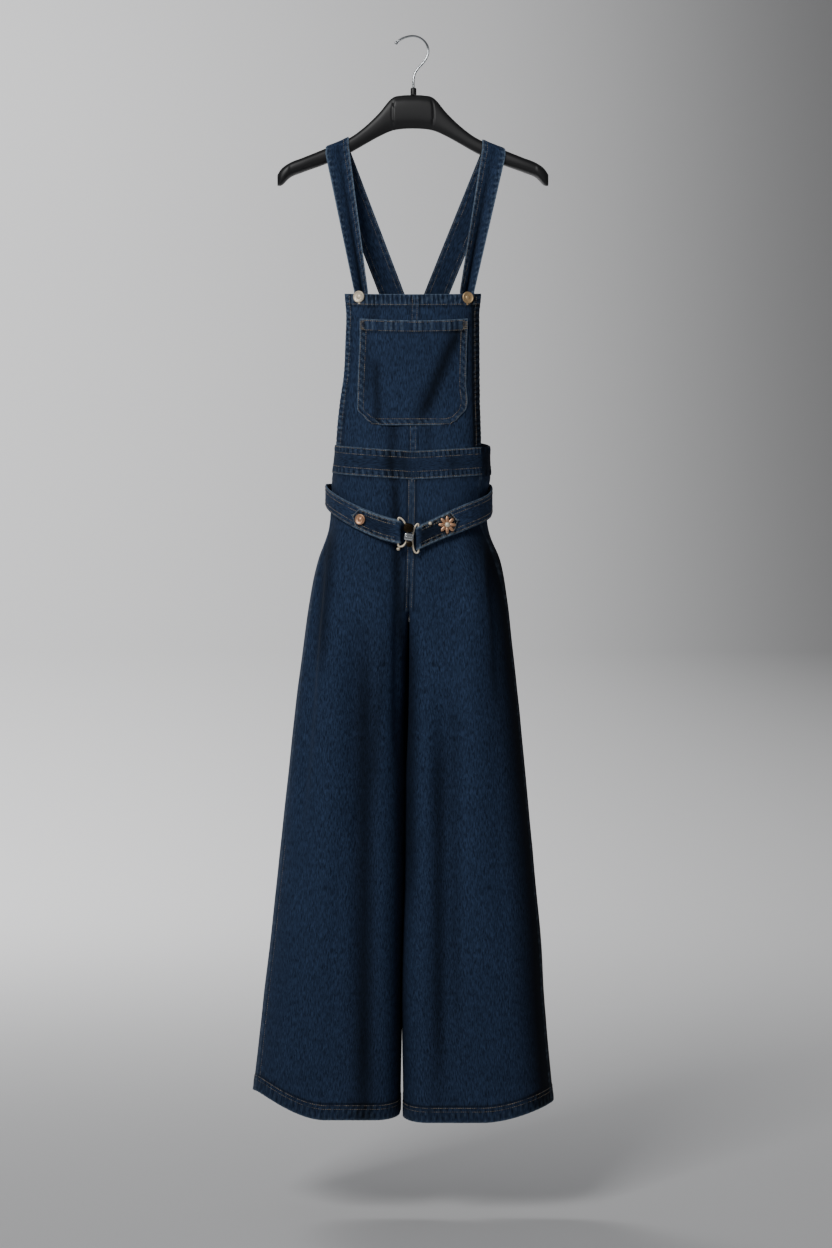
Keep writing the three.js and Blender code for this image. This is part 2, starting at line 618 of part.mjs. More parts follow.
// A shank button: a domed disc on a short stem.
function button(name, radius, at, normal) {
  const rows = [[0, 0], [2.6, 0], [2.6, 1.2], [radius - 1.2, 1.2], [radius, 2], [radius, 3.2],
    [radius - 1, 4.3], [radius * 0.72, 4.3], [radius * 0.66, 3.8], [0, 4]];
  lathe(name, rows, at, normal, MATERIALS.brass);
}

// A box that faces the front, with its four corners rounded.
function plate({ name, wide, tall, deep, corner }, at, material) {
  const shape = new THREE.Shape();
  const [w, h] = [wide / 2, tall / 2];
  shape.moveTo(-w + corner, -h);
  shape.lineTo(w - corner, -h);
  shape.absarc(w - corner, -h + corner, corner, -Math.PI / 2, 0);
  shape.absarc(w - corner, h - corner, corner, 0, Math.PI / 2);
  shape.absarc(-w + corner, h - corner, corner, Math.PI / 2, Math.PI);
  shape.absarc(-w + corner, -h + corner, corner, Math.PI, 1.5 * Math.PI);
  const geometry = new THREE.ExtrudeGeometry(shape, { depth: deep, bevelEnabled: false, curveSegments: 3 });
  const mesh = add(name, geometry, material);
  mesh.rotation.x = Math.PI / 2;
  mesh.position.copy(at);
}

function bodyPieces() {
  leg('front_right', -1, -1);
  leg('front_left', 1, -1);
  leg('back_right', -1, 1);
  leg('back_left', 1, 1);
  waistband('waistband_front', -1);
  waistband('waistband_back', 1);
  bib('bib_right', -1);
  bib('bib_left', 1);
  pocket();
  STRAPS.forEach(strap);
}

function beltPieces() {
  beltStrip();
  beltLoop('belt_loop_right', -LOOP_X);
  beltLoop('belt_loop_left', LOOP_X);
  beltRing('belt_ring_right', 0, RING_RIGHT);
  beltRing('belt_ring_left', 1, RING_LEFT);
}

// The hanger's arm, lofted through upright superellipse sections, with a raised middle panel.
function hangerBody() {
  const stations = [...HANGER_STATIONS.slice(1).reverse().map((v) => -v), ...HANGER_STATIONS];
  const sides = 16;
  const points = stations.flatMap((out) => {
    const x = HANGER_X + out;
    const { middle, tall, half } = hangerAt(x);
    const raised = Math.abs(out) < PANEL_HALF ? PANEL_RAISED : 0;
    return steps(sides).slice(1).map((s) => {
      const t = 2 * Math.PI * s;
      const power = (v) => Math.sign(v) * Math.abs(v) ** (2 / HANGER_ROUND);
      return vec(x, (half + raised) * power(Math.cos(t)), middle + tall * power(Math.sin(t)));
    });
  });
  const index = [];
  for (let k = 0; k < stations.length - 1; k += 1) {
    for (let j = 0; j < sides; j += 1) {
      const [a, b] = [k * sides + j, k * sides + (j + 1) % sides];
      index.push(a, b, b + sides, a, b + sides, a + sides);
    }
  }
  const last = (stations.length - 1) * sides;
  for (let j = 1; j < sides - 1; j += 1) index.push(0, j + 1, j, last, last + j, last + j + 1);
  add('hanger_body', solid(points, index), MATERIALS.plastic);
}

function hangerPieces() {
  hangerBody();
  const collar = [[0, 0], [COLLAR, 0], [COLLAR, 9.4], [COLLAR - 1, 10.6], [0, 10.6]];
  lathe('hanger_collar', collar, vec(1.5, 0, COLLAR_TOP - 10.6), vec(0, 0, 1), MATERIALS.plastic, 16);
  const curve = new THREE.CatmullRomCurve3(HOOK.map(({ x, z }) => vec(x, 0, z)), false, 'centripetal');
  const points = steps(40).map((s) => curve.getPointAt(s));
  const radii = steps(40).map((s) => (s < 0.06 ? 2.8 - 20 * Math.abs(s - 0.025) : WIRE));
  add('hook', wire(points, radii, 10, false), MATERIALS.steel);
}

// A place on the outside of a tab, so far along from its fold and so far up.
function onTab(end, from, rise) {
  const { p, out, up } = beltFrame(end ? 1 - from / beltLength : from / beltLength);
  const lift = mix(2 * FOLD_R, BELT + 0.6, smooth(from, 2, 20)) + BELT / 2 + GAP;
  return { at: p.addScaledVector(out, lift).addScaledVector(up, rise), out };
}

function metalPieces() {
  for (const { name, x, z } of BIB_BUTTONS) {
    const at = bibPoint(x, z, LAID + 0.1);
    const normal = bibPoint(x, z, 1).sub(bibPoint(x, z, 0));
    button(name, BIB_BUTTON, at, normal);
  }
  const fastened = onTab(0, BELT_BUTTON_FROM, 0);
  button('belt_button', BELT_BUTTON, fastened.at, fastened.out);
  const petalShape = new THREE.Shape(steps(64).slice(1).map((s) => {
    const t = 2 * Math.PI * s;
    const r = FLOWER * (0.74 + 0.26 * Math.cos(PETALS * t));
    return new THREE.Vector2(r * Math.cos(t), r * Math.sin(t));
  }));
  const flower = onTab(1, FLOWER_FROM, 0);
  const petalForm = { depth: FLOWER_THICK, bevelEnabled: false, curveSegments: 1 };
  const petals = add('belt_flower', new THREE.ExtrudeGeometry(petalShape, petalForm), MATERIALS.brass);
  petals.quaternion.setFromUnitVectors(vec(0, 0, 1), flower.out);
  petals.position.copy(flower.at);
  const dome = [[0, 0], [4.2, 0], [4, 1.3], [2.4, 2.6], [0, 3]];
  const middle = flower.at.clone().addScaledVector(flower.out, FLOWER_THICK + GAP);
  lathe('belt_flower_centre', dome, middle, flower.out, MATERIALS.brass, 14);
  clasp();
  const bead = [[0, 0], [2.1, 0.4], [2.9, 1.8], [2.4, 3.8], [1, 4.8], [0, 5]];
  const low = beltFrame(0);
  const foot = low.p.addScaledVector(low.out, FOLD_R).addScaledVector(low.up, -RING_TALL / 2 - GAP);
  lathe('belt_bead_right', bead, foot, low.up.clone().negate(), MATERIALS.brass, 12);
  const high = onTab(1, BEAD_FROM, BELT_WIDE / 2 - BEAD_DOWN);
  lathe('belt_bead_left', bead, high.at, high.out, MATERIALS.brass, 12);
}

// The clasp's pieces, upright in front of the rings' bows.
function clasp() {
  const y = beltFrame(1).p.y - FOLD_R - RING_WIRE - 3 * GAP;
  for (const piece of CLASP) plate(piece, vec(piece.x, y, piece.z), MATERIALS[piece.metal]);
}

bodyPieces();
beltPieces();
hangerPieces();
metalPieces();

model.traverse((piece) => {
  if (!piece.isMesh) return;
  piece.geometry.deleteAttribute('normal');
  piece.geometry.deleteAttribute('uv');
  piece.geometry = mergeVertices(piece.geometry, 1e-3);
  piece.geometry.computeVertexNormals();
});

export default model;
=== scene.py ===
"""Wide-legged denim dungarees with their own belt, hung by the straps on a shoulder hanger.

The shapes are worked out in millimetres and put into meshes in metres. +Z is up, -Y is the
front, +X is the viewer's right, and the origin is inside the top of the hook. Left and right
in a name are the wearer's. side is -1 to the wearer's right and 1 to the left, face is -1 in
front and 1 behind, and out is a distance outwards from the cloth's outside.
"""

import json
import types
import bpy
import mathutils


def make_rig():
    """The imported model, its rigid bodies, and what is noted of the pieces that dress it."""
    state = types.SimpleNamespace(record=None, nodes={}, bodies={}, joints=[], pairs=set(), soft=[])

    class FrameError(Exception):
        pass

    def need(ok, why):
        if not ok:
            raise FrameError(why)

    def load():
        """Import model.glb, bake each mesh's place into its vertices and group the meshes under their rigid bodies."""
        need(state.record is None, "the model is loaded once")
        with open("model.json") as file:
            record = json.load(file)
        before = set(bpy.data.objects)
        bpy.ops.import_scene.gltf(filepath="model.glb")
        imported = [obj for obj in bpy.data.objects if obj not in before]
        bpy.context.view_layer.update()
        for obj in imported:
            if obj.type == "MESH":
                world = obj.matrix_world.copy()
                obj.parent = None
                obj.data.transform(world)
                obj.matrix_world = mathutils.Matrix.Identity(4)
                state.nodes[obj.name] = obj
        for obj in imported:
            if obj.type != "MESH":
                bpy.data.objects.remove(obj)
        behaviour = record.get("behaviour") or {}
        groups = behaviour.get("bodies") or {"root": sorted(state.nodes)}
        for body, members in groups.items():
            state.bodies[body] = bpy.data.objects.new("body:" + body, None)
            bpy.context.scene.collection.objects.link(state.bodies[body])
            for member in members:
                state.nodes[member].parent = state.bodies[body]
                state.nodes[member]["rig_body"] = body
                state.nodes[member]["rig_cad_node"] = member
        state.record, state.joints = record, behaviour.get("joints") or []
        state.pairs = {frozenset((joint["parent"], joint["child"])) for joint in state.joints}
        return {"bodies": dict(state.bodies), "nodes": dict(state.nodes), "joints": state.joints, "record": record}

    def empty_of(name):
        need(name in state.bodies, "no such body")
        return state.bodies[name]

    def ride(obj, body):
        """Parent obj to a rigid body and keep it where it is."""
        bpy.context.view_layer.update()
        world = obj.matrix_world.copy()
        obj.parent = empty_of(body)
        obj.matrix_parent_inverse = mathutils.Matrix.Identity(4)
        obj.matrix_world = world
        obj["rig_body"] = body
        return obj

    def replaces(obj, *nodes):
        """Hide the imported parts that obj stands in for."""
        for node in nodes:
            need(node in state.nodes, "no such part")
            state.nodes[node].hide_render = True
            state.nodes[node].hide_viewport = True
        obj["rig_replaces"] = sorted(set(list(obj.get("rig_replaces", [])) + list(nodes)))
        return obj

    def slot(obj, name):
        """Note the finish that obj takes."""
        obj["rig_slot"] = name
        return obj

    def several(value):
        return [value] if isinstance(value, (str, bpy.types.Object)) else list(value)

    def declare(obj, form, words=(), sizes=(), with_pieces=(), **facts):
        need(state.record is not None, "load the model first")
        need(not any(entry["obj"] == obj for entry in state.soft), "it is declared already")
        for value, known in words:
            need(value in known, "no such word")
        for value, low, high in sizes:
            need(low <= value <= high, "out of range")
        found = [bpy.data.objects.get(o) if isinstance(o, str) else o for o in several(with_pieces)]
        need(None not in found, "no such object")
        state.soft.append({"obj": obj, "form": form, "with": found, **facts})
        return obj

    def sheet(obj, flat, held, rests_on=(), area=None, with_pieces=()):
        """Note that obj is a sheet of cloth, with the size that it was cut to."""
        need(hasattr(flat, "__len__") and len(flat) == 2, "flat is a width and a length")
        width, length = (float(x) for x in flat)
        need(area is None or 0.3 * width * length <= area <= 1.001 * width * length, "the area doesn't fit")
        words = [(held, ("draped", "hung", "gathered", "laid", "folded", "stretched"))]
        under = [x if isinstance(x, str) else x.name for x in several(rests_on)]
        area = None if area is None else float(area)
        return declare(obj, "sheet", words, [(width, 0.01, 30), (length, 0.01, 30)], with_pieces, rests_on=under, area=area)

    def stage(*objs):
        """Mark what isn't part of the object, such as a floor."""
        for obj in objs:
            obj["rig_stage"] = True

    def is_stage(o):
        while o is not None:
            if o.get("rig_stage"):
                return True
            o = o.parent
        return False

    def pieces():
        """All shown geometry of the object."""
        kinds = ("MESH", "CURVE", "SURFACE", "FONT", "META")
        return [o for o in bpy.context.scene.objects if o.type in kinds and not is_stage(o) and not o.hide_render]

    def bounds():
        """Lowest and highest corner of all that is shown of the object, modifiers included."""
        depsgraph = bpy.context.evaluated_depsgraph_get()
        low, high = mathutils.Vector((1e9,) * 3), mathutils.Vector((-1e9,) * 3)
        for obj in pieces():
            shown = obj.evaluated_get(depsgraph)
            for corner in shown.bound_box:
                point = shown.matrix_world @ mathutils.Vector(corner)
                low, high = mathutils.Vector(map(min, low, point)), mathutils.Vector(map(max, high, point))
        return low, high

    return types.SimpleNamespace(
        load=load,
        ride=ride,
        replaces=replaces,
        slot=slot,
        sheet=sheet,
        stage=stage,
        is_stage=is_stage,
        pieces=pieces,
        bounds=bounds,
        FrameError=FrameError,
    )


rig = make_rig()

bl_info = {
    "name": "Denim dungarees on a hanger",
    "version": (1, 0, 0),
    "blender": (4, 5, 0),
    "location": "View3D > Sidebar > Dungarees",
    "description": "Builds the dungarees, their belt and metal pieces, the hanger and a studio",
    "category": "Object",
}

import json

import bpy
import numpy as np
from bpy.props import FloatProperty, FloatVectorProperty, PointerProperty
from mathutils import Vector

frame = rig.load()
CAD_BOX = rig.bounds()
MILLIMETRE = 0.001

# Cloth, in millimetres
GAP = 0.3
LAID = 0.9
DENIM = 1.3
TURNED = 2.6
STRAP = 2.4
BELT = 2.4

# Heights of the garment
BIB_TOP = -396
WAIST_RIGHT = -629
WAIST_LEFT = -635
WAIST_BACK = -612
WAIST_DIP = 14
WAISTBAND = 43
CROTCH = -885
CROTCH_LENGTH = 45
HEM_RIGHT = -1651
HEM_LEFT = -1655
HEM_RISE_RIGHT = 35
HEM_RISE_LEFT = 21
HEM = 24

# Widths of the flat pieces
STRAP_WIDE = 38
BELT_WIDE = 37
BIB_HEM = 9
BIB_TOP_HEM = 18
FELL = 9.5
SIDE_ROW_TOP = -1240
SIDE_TURN = 103
LEG_BOW = 1.6
SEAM_LAP = 1.2

# Rows of stitches, by how far in from the edge they lie; the hem's from its upper edge
HEM_ROWS = (1.8, 7.4)
BAND_ROWS = (2.0, 10.5, WAISTBAND - 11.5, WAISTBAND - 2.0)
POCKET_ROWS = (2.0, 9.6)
STRAP_ROWS = (2.6, 8.4)
BELT_ROWS = (2.6, 8.0)
TAB_ROWS = (2.8, 7.6)

# Body by height: half widths to the wearer's right and left, half depth, the line between the
# legs, how far the front sinks in along that line, and how much of the front is flat
HALF_RIGHT, HALF_LEFT, DEPTH, SPLIT, SINK, FLAT = range(1, 7)
BODY = (
    (-600, 117, 117, 80, -1, 0, 0.34),
    (-640, 119, 119, 83, -1, 0, 0.35),
    (-676, 123, 120, 88, -1, 0, 0.36),
    (-713, 125, 114, 94, -1, 0, 0.37),
    (-759, 129, 117, 98, -2, 1, 0.38),
    (-805, 145, 135, 102, -3, 5, 0.4),
    (-867, 158, 146, 105, -5, 18, 0.43),
    (-929, 167, 153, 105, -6, 42, 0.46),
    (-1021, 179, 163, 104, -8.5, 58, 0.48),
    (-1113, 189, 172, 101, -10.5, 62, 0.5),
    (-1206, 199, 181, 99, -11.5, 62, 0.5),
    (-1298, 209, 189, 97, -12.5, 62, 0.5),
    (-1391, 219, 198, 95, -15.5, 62, 0.5),
    (-1483, 230, 203, 94, -17, 62, 0.5),
    (-1575, 240, 211, 93, -17, 62, 0.5),
    (-1665, 251, 220, 92, -17, 62, 0.5),
)
ROUND = 2.3
SINK_WIDE = 38
PLAIN_SHARE = 0.76

# Folds: height of the top and foot, x at the top and foot, width, and how far out
FRONT_FOLDS = (
    (-790, -1480, -116, -142, 22, 6),
    (-770, -1260, -134, -176, 10, -7),
    (-880, -1600, -86, -74, 20, -9),
    (-800, -1540, -56, -54, 17, 5),
    (-960, -1640, 50, 52, 20, -9),
    (-800, -1420, 88, 92, 22, 6),
    (-775, -1060, 116, 136, 10, -7),
)
BACK_FOLDS = (
    (-800, -1500, -112, -146, 22, 6),
    (-860, -1600, -78, -88, 20, -8),
    (-820, -1460, 52, 60, 20, -7),
    (-790, -1560, 92, 118, 22, 6),
)
FRONT_CREASES = (
    (-1030, -1270, -54, -92, 9, -2.6),
    (-690, -930, -34, -36, 12, -2.4),
    (-735, -1150, -20, -19, 10, -8),
    (-700, -1010, 14, 12, 12, 2.2),
    (-790, -1040, -128, -146, 6, 1.8),
    (-760, -980, 104, 124, 6, 2.2),
    (-1150, -1560, -104, -122, 12, -1.8),
    (-1180, -1620, 20, 26, 11, -1.9),
    (-1000, -1500, 124, 142, 12, -2.2),
    (-1300, -1640, -172, -196, 12, 1.8),
    (-690, -860, -78, -96, 9, -1.6),
    (-700, -900, 62, 70, 10, -1.8),
)
BACK_CREASES = (
    (-690, -960, -34, -40, 12, -3),
    (-700, -940, 30, 42, 12, -2.6),
    (-1050, -1400, -120, -140, 10, -2.2),
    (-1120, -1520, 96, 128, 11, -2.2),
    (-760, -1000, 118, 140, 8, -2.6),
    (-770, -1040, -128, -152, 8, -2.4),
    (-1200, -1600, -50, -46, 12, 1.8),
)

# Shades of painted shade: as the folds, but the last column is how much of the painted shade colour shows
FRONT_SHADES = (
    (-850, -1820, -72, -74, 17, 0.75),
    (-640, -1010, -29, -15, 9, 0.75),
    (-980, -1700, -20, -21, 10, 0.6),
    (-880, -1390, -3, -4, 11, 0.6),
    (-1010, -1680, 41, 38, 12, 0.6),
    (-960, -1600, 62, 66, 10, 0.3),
    (-735, -1000, -122, -142, 11, 0.6),
    (-900, -1180, -40, -60, 8, 0.3),
)
BACK_SHADES = (
    (-860, -1620, -80, -88, 15, 0.65),
    (-820, -1500, 54, 60, 15, 0.55),
    (-760, -1340, -8, -14, 11, 0.6),
)
BAND_SHADES = (
    (-560, -760, -36, -30, 11, 0.6),
    (-560, -760, -14, -12, 8, 0.35),
    (-560, -760, 64, 60, 12, 0.3),
)

# Bib by height: its right and left edges and the seam between its halves
EDGE_RIGHT, EDGE_LEFT, SEAM = range(1, 4)
BIB = (
    (-380, -104, 105.5, 4),
    (-396, -104, 105.5, 4),
    (-430, -101.5, 102.5, 3.5),
    (-466, -102.5, 102.5, 3),
    (-528, -105.5, 102.5, 2.2),
    (-559, -110, 102.5, 1.6),
    (-620, -116, 104, 1),
    (-650, -117, 104, 1),
)
BIB_LEAN = -35
BIB_CURL = 28
BIB_HALF = 105
BIB_FOLDS = (
    (-560, -660, -22, -32, 12, -2.4),
    (-410, -560, 78, 90, 12, -1.8),
    (-430, -640, -92, -96, 8, -1.2),
    (-590, -660, 50, 58, 14, 1.4),
)
# Painted shade on the bib, in the columns of the shades
BIB_SHADES = (
    (-360, -720, 97, 101, 13, 0.9),
    (-540, -700, -26, -34, 10, 0.5),
    (-560, -700, 22, 26, 8, 0.3),
    (-360, -520, -60, -58, 10, 0.35),
)

# Pocket by height: its right and left edges, and its soft folds
POCKET = (
    (-437, -79.5, 83),
    (-456, -79.6, 83),
    (-458, -79.6, 82.9),
    (-500, -81, 81.5),
    (-540, -82.3, 80.6),
    (-578, -82.8, 80.2),
    (-589, -73.2, 71),
    (-599, -63, 60),
    (-603.5, -47, 42),
)
POCKET_MOUTH = -437
POCKET_FOOT = -603.5
POCKET_SAG = 5
POCKET_BAND = 19
POCKET_FOLDS = (
    (-445, -600, 74, 10, 11, -2.6),
    (-500, -610, -56, -52, 7, -1.8),
    (-450, -600, -20, -26, 26, 2.2),
)
# Painted shade on the pocket, in the columns of the shades
POCKET_SHADES = (
    (-432, -625, 78, 0, 13, 0.85),
    (-490, -640, -55, -52, 7, 0.6),
    (-440, -580, -72, -70, 7, 0.4),
)

# Straps: where each leaves the hanger and meets the bib and the back waistband, its width
# at the bib, and how far it lies over the other where they cross
STRAPS = (
    ("strap_right", -115.8, -81, 55, 22, 0),
    ("strap_left", 125, 86, -56, 23, 6.6),
)
STRAP_END = -424
STRAP_BACK = 116

# Hanger by distance from its middle: top, bottom and half thickness of the arm
ARM_TOP, ARM_FOOT, ARM_HALF = range(1, 4)
HANGER_X = 0.6
HANGER = (
    (0, -89.3, -140.8, 7),
    (16, -89.8, -141.5, 7),
    (32, -94, -144.2, 7),
    (52, -117, -153, 7.4),
    (72, -136.5, -164, 8),
    (96, -154.6, -177.6, 9),
    (136, -172.5, -195.8, 11),
    (170, -186.4, -208, 13.5),
    (190, -194.5, -216.5, 14),
    (203, -204, -228.5, 12),
    (208.5, -212, -229, 8),
)
ARM_REACH = 208.5
HANGER_ROUND = 2.6
PANEL_HALF = 31
PANEL_RAISED = 1.2

# Hook, from its tip over the top and down to the collar: x, z
HOOK = (
    (-27, -10.8), (-20, -4.6), (-11, -0.2), (0, 1.75), (10, -0.4), (18.5, -6.6), (23.3, -14.4),
    (24.2, -22.4), (22, -31), (16, -40), (8.5, -48.2), (3.4, -56.5), (1.6, -66), (1.5, -78),
)
COLLAR_TOP = -78.3
COLLAR_TALL = 10.6

# Belt: its middle line round the body, from the fold at one ring to the other: x, y, z
BELT_ROUTE = (
    (-21, -107.5, -766), (-44, -106, -760), (-74, -100, -748), (-104, -82, -732),
    (-124, -50, -718), (-133, -6, -706), (-128, 44, -701), (-106, 82, -699), (-60, 105, -698),
    (0, 110, -698), (56, 106, -699), (96, 84, -701), (117, 46, -704), (122, 0, -711),
    (117, -46, -724), (103, -78, -733), (84, -97, -741.5), (57, -105, -753),
    (28, -107.5, -766), (9, -109, -775),
)
LOOP_X = 38
LOOP = ((-659, 0), (-667, 0), (-675, 112.4), (-698, 112.4), (-721, 112.4), (-729, 0), (-737, 0))
TAB_RIGHT = 76
TAB_LEFT = 66
FOLD_R = 3.1
BELT_BUTTON_FROM = 59
FLOWER_FROM = 47
FLOWER_THICK = 2.4
BEAD_FROM = 19
BEAD_DOWN = 5

# Metal pieces
RING_TALL = 46
RING_CORNER = 2
RING_RIGHT = 17
RING_LEFT = 13
BIB_BUTTON_RIGHT = (-81, -402.7)
BIB_BUTTON_LEFT = (83.5, -404)
PETALS = 8

# Cuts of the cloth that shows: width and length of each piece laid flat, and its area
CUTS = {
    "front_right": (0.34, 0.98, 0.2526),
    "front_left": (0.34, 0.98, 0.2668),
    "back_right": (0.43, 1.0, 0.3393),
    "back_left": (0.43, 1.0, 0.3387),
    "waistband_front": (0.3, 0.044, 0.0128),
    "waistband_back": (0.46, 0.044, 0.0196),
    "bib_right": (0.125, 0.26, 0.0299),
    "bib_left": (0.112, 0.26, 0.027),
    "bib_pocket": (0.168, 0.172, 0.0279),
    "strap_right": (0.038, 0.8, 0.0295),
    "strap_left": (0.038, 0.8, 0.0294),
    "belt_strip": (0.037, 0.93, 0.0335),
    "belt_loop_right": (0.0105, 0.118, 0.0012),
    "belt_loop_left": (0.0105, 0.118, 0.0012),
}

# Studio
STAGE_MIDDLE = Vector((0.0054, 0, -0.904))
FLOOR = -1.81
WALL = 6.8
SWEEP = 2.6


class DungareesCloth(bpy.types.PropertyGroup):
    """Sizes and colours of the cloth and its stitching."""

    stitch: FloatProperty(
        name="Stitch", description="Length of one topstitch", default=0.0027, unit="LENGTH")
    pitch: FloatProperty(
        name="Pitch", description="From one topstitch to the next", default=0.0034, unit="LENGTH")
    thread: FloatProperty(
        name="Thread", description="Width of the topstitching thread", default=0.0008, unit="LENGTH")
    pucker: FloatProperty(
        name="Pucker", description="Height of the ripples along stitched hems", default=0.0005,
        unit="LENGTH")
    indigo: FloatVectorProperty(
        name="Indigo", description="Warp yarns of the denim", subtype="COLOR", size=3,
        default=(0.0148, 0.0272, 0.0585))
    # Colour of the painted shade that darkens folds, creases, troughs and the sides turned from the light
    painted_shade: FloatVectorProperty(
        name="Deep indigo", description="Unfaded cloth in the folds", subtype="COLOR", size=3,
        default=(0.002, 0.0037, 0.0075))
    worn: FloatVectorProperty(
        name="Worn edge", description="Rubbed edges and ridges", subtype="COLOR", size=3,
        default=(0.19, 0.26, 0.35))


class DungareesMetal(bpy.types.PropertyGroup):
    """Sizes of the metal pieces."""

    bib_button: FloatProperty(
        name="Bib button", description="Radius of the bib buttons", default=0.0093, unit="LENGTH")
    belt_button: FloatProperty(
        name="Belt button", description="Radius of the belt's button", default=0.0083,
        unit="LENGTH")
    flower: FloatProperty(
        name="Flower", description="Radius of the flower on the belt", default=0.0134,
        unit="LENGTH")
    ring_wire: FloatProperty(
        name="Ring wire", description="Radius of the rings' wire", default=0.0015, unit="LENGTH")
    hook_wire: FloatProperty(
        name="Hook wire", description="Radius of the hook's wire", default=0.00175, unit="LENGTH")


class DungareesStudio(bpy.types.PropertyGroup):
    """Camera and lights."""

    distance: FloatProperty(
        name="Distance", description="From the camera to the hook's plane", default=4.0,
        unit="LENGTH")
    lens: FloatProperty(
        name="Lens", description="Focal length of the camera in millimetres", default=74.9)
    key: FloatProperty(
        name="Key light", description="Soft light from the upper left", default=95.0,
        unit="POWER")
    fill: FloatProperty(
        name="Fill light", description="Weak light from the right", default=4.0, unit="POWER")
    wall: FloatProperty(
        name="Wall light", description="Light on the left of the backdrop", default=330.0,
        unit="POWER")
    backdrop: FloatVectorProperty(
        name="Backdrop", description="Paper of the backdrop and floor", subtype="COLOR", size=3,
        default=(0.46, 0.46, 0.465))


# Small mathematics

def mix(a, b, t):
    """a + (b - a) t."""
    return a + (b - a) * t


def smooth(value, low, high):
    """0 below low, 1 above high, and 3 t^2 - 2 t^3 between."""
    t = np.clip((value - low) / (high - low), 0, 1)
    return t * t * (3 - 2 * t)


def bell(value, width):
    """exp(-(v / width)^2)."""
    return np.exp(-(value / width) ** 2)


def crest(wave):
    """The part of a wave above 0, and no more than 1."""
    return np.clip(wave, 0, 1)


def power(value, exponent):
    """|v| to the exponent, with the sign of v."""
    return np.sign(value) * np.abs(value) ** exponent


def uneven(value, seed):
    """An irregular wave from about -1 to 1: three sines whose lengths don't divide each other."""
    return (np.sin(value + seed) + 0.6 * np.sin(2.3 * value + 1.7 * seed)
            + 0.4 * np.sin(3.9 * value + 2.9 * seed)) / 1.7


def unit(vectors):
    """Vectors over their own length."""
    return vectors / np.maximum(np.linalg.norm(vectors, axis=-1, keepdims=True), 1e-9)


def read(table, column, at):
    """A column of a table at values of its first column, on cubic Hermite curves.

    The slope at a row is the mean of the slopes beside it, and 0 where they differ in sign.
    """
    rows = np.array(sorted(table))
    x, y = rows[:, 0], rows[:, column]
    slope = np.diff(y) / np.diff(x)
    inner = np.where(slope[:-1] * slope[1:] <= 0, 0, (slope[:-1] + slope[1:]) / 2)
    slopes = np.concatenate([slope[:1], inner, slope[-1:]])
    k = np.clip(np.searchsorted(x, at, side="right") - 1, 0, len(x) - 2)
    span = x[k + 1] - x[k]
    t = np.clip((at - x[k]) / span, 0, 1)
    return (y[k] * (1 + 2 * t) * (1 - t) ** 2 + y[k + 1] * t * t * (3 - 2 * t)
            + span * (slopes[k] * t * (1 - t) ** 2 - slopes[k + 1] * t * t * (1 - t)))


def fold_depth(folds, x, z):
    """Sum of bell-shaped folds: out exp(-(off / width)^2), eased in and out along each."""
    total = np.zeros(np.broadcast(x, z).shape)
    for top, foot, x_top, x_foot, wide, out in folds:
        s = (z - top) / (foot - top)
        eased = smooth(s, 0, 0.2) * (1 - smooth(s, 0.7, 1))
        total += out * bell(x - mix(x_top, x_foot, s), wide) * eased
    return total


# Meshes

def outward(points, faces):
    """The faces of a closed mesh turned so that its signed volume is positive."""
    first, middle, last = (points[faces[:, k]] for k in (0, 1, 2))
    volume = np.einsum("ij,ij->i", first, np.cross(middle, last)).sum()
    if faces.shape[1] == 4:
        volume += np.einsum("ij,ij->i", first, np.cross(last, points[faces[:, 3]])).sum()
    return faces[:, ::-1] if volume < 0 else faces


def put(name, points, faces, material, cloth=None, sharp=40):
    """A mesh object from points in millimetres and an array of faces, with smooth faces.

    cloth holds the piece's own map (N, 2) in metres, its worn share and its share of painted shade (N).
    """
    mesh = bpy.data.meshes.new(name)
    mesh.vertices.add(len(points))
    mesh.vertices.foreach_set("co", (points * MILLIMETRE).ravel())
    corners = faces.shape[1]
    mesh.loops.add(faces.size)
    mesh.loops.foreach_set("vertex_index", faces.ravel().astype(np.int32))
    mesh.polygons.add(len(faces))
    mesh.polygons.foreach_set("loop_start", np.arange(0, faces.size, corners, dtype=np.int32))
    mesh.update(calc_edges=True)
    mesh.shade_smooth()
    mesh.set_sharp_from_angle(angle=np.radians(sharp))
    if cloth:
        mesh.uv_layers.new(name="cloth").uv.foreach_set("vector", cloth["map"][faces.ravel()].ravel())
        for key in ("worn", "painted_shade"):
            mesh.attributes.new(key, "FLOAT", "POINT").data.foreach_set("value", cloth[key])
    mesh.materials.append(material)
    made = bpy.data.objects.new(name, mesh)
    bpy.context.scene.collection.objects.link(made)
    return made


def declare(piece, slot, *nodes):
    """The piece rides on the garment, takes that slot's finish and stands for those nodes."""
    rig.ride(piece, "root")
    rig.slot(piece, slot)
    if nodes:
        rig.replaces(piece, *nodes)
    return piece


def add(name, made, material, slot):
    """A piece of those points and faces, which stands for the node of its own name."""
    return declare(put(name, *made, material), slot, name)


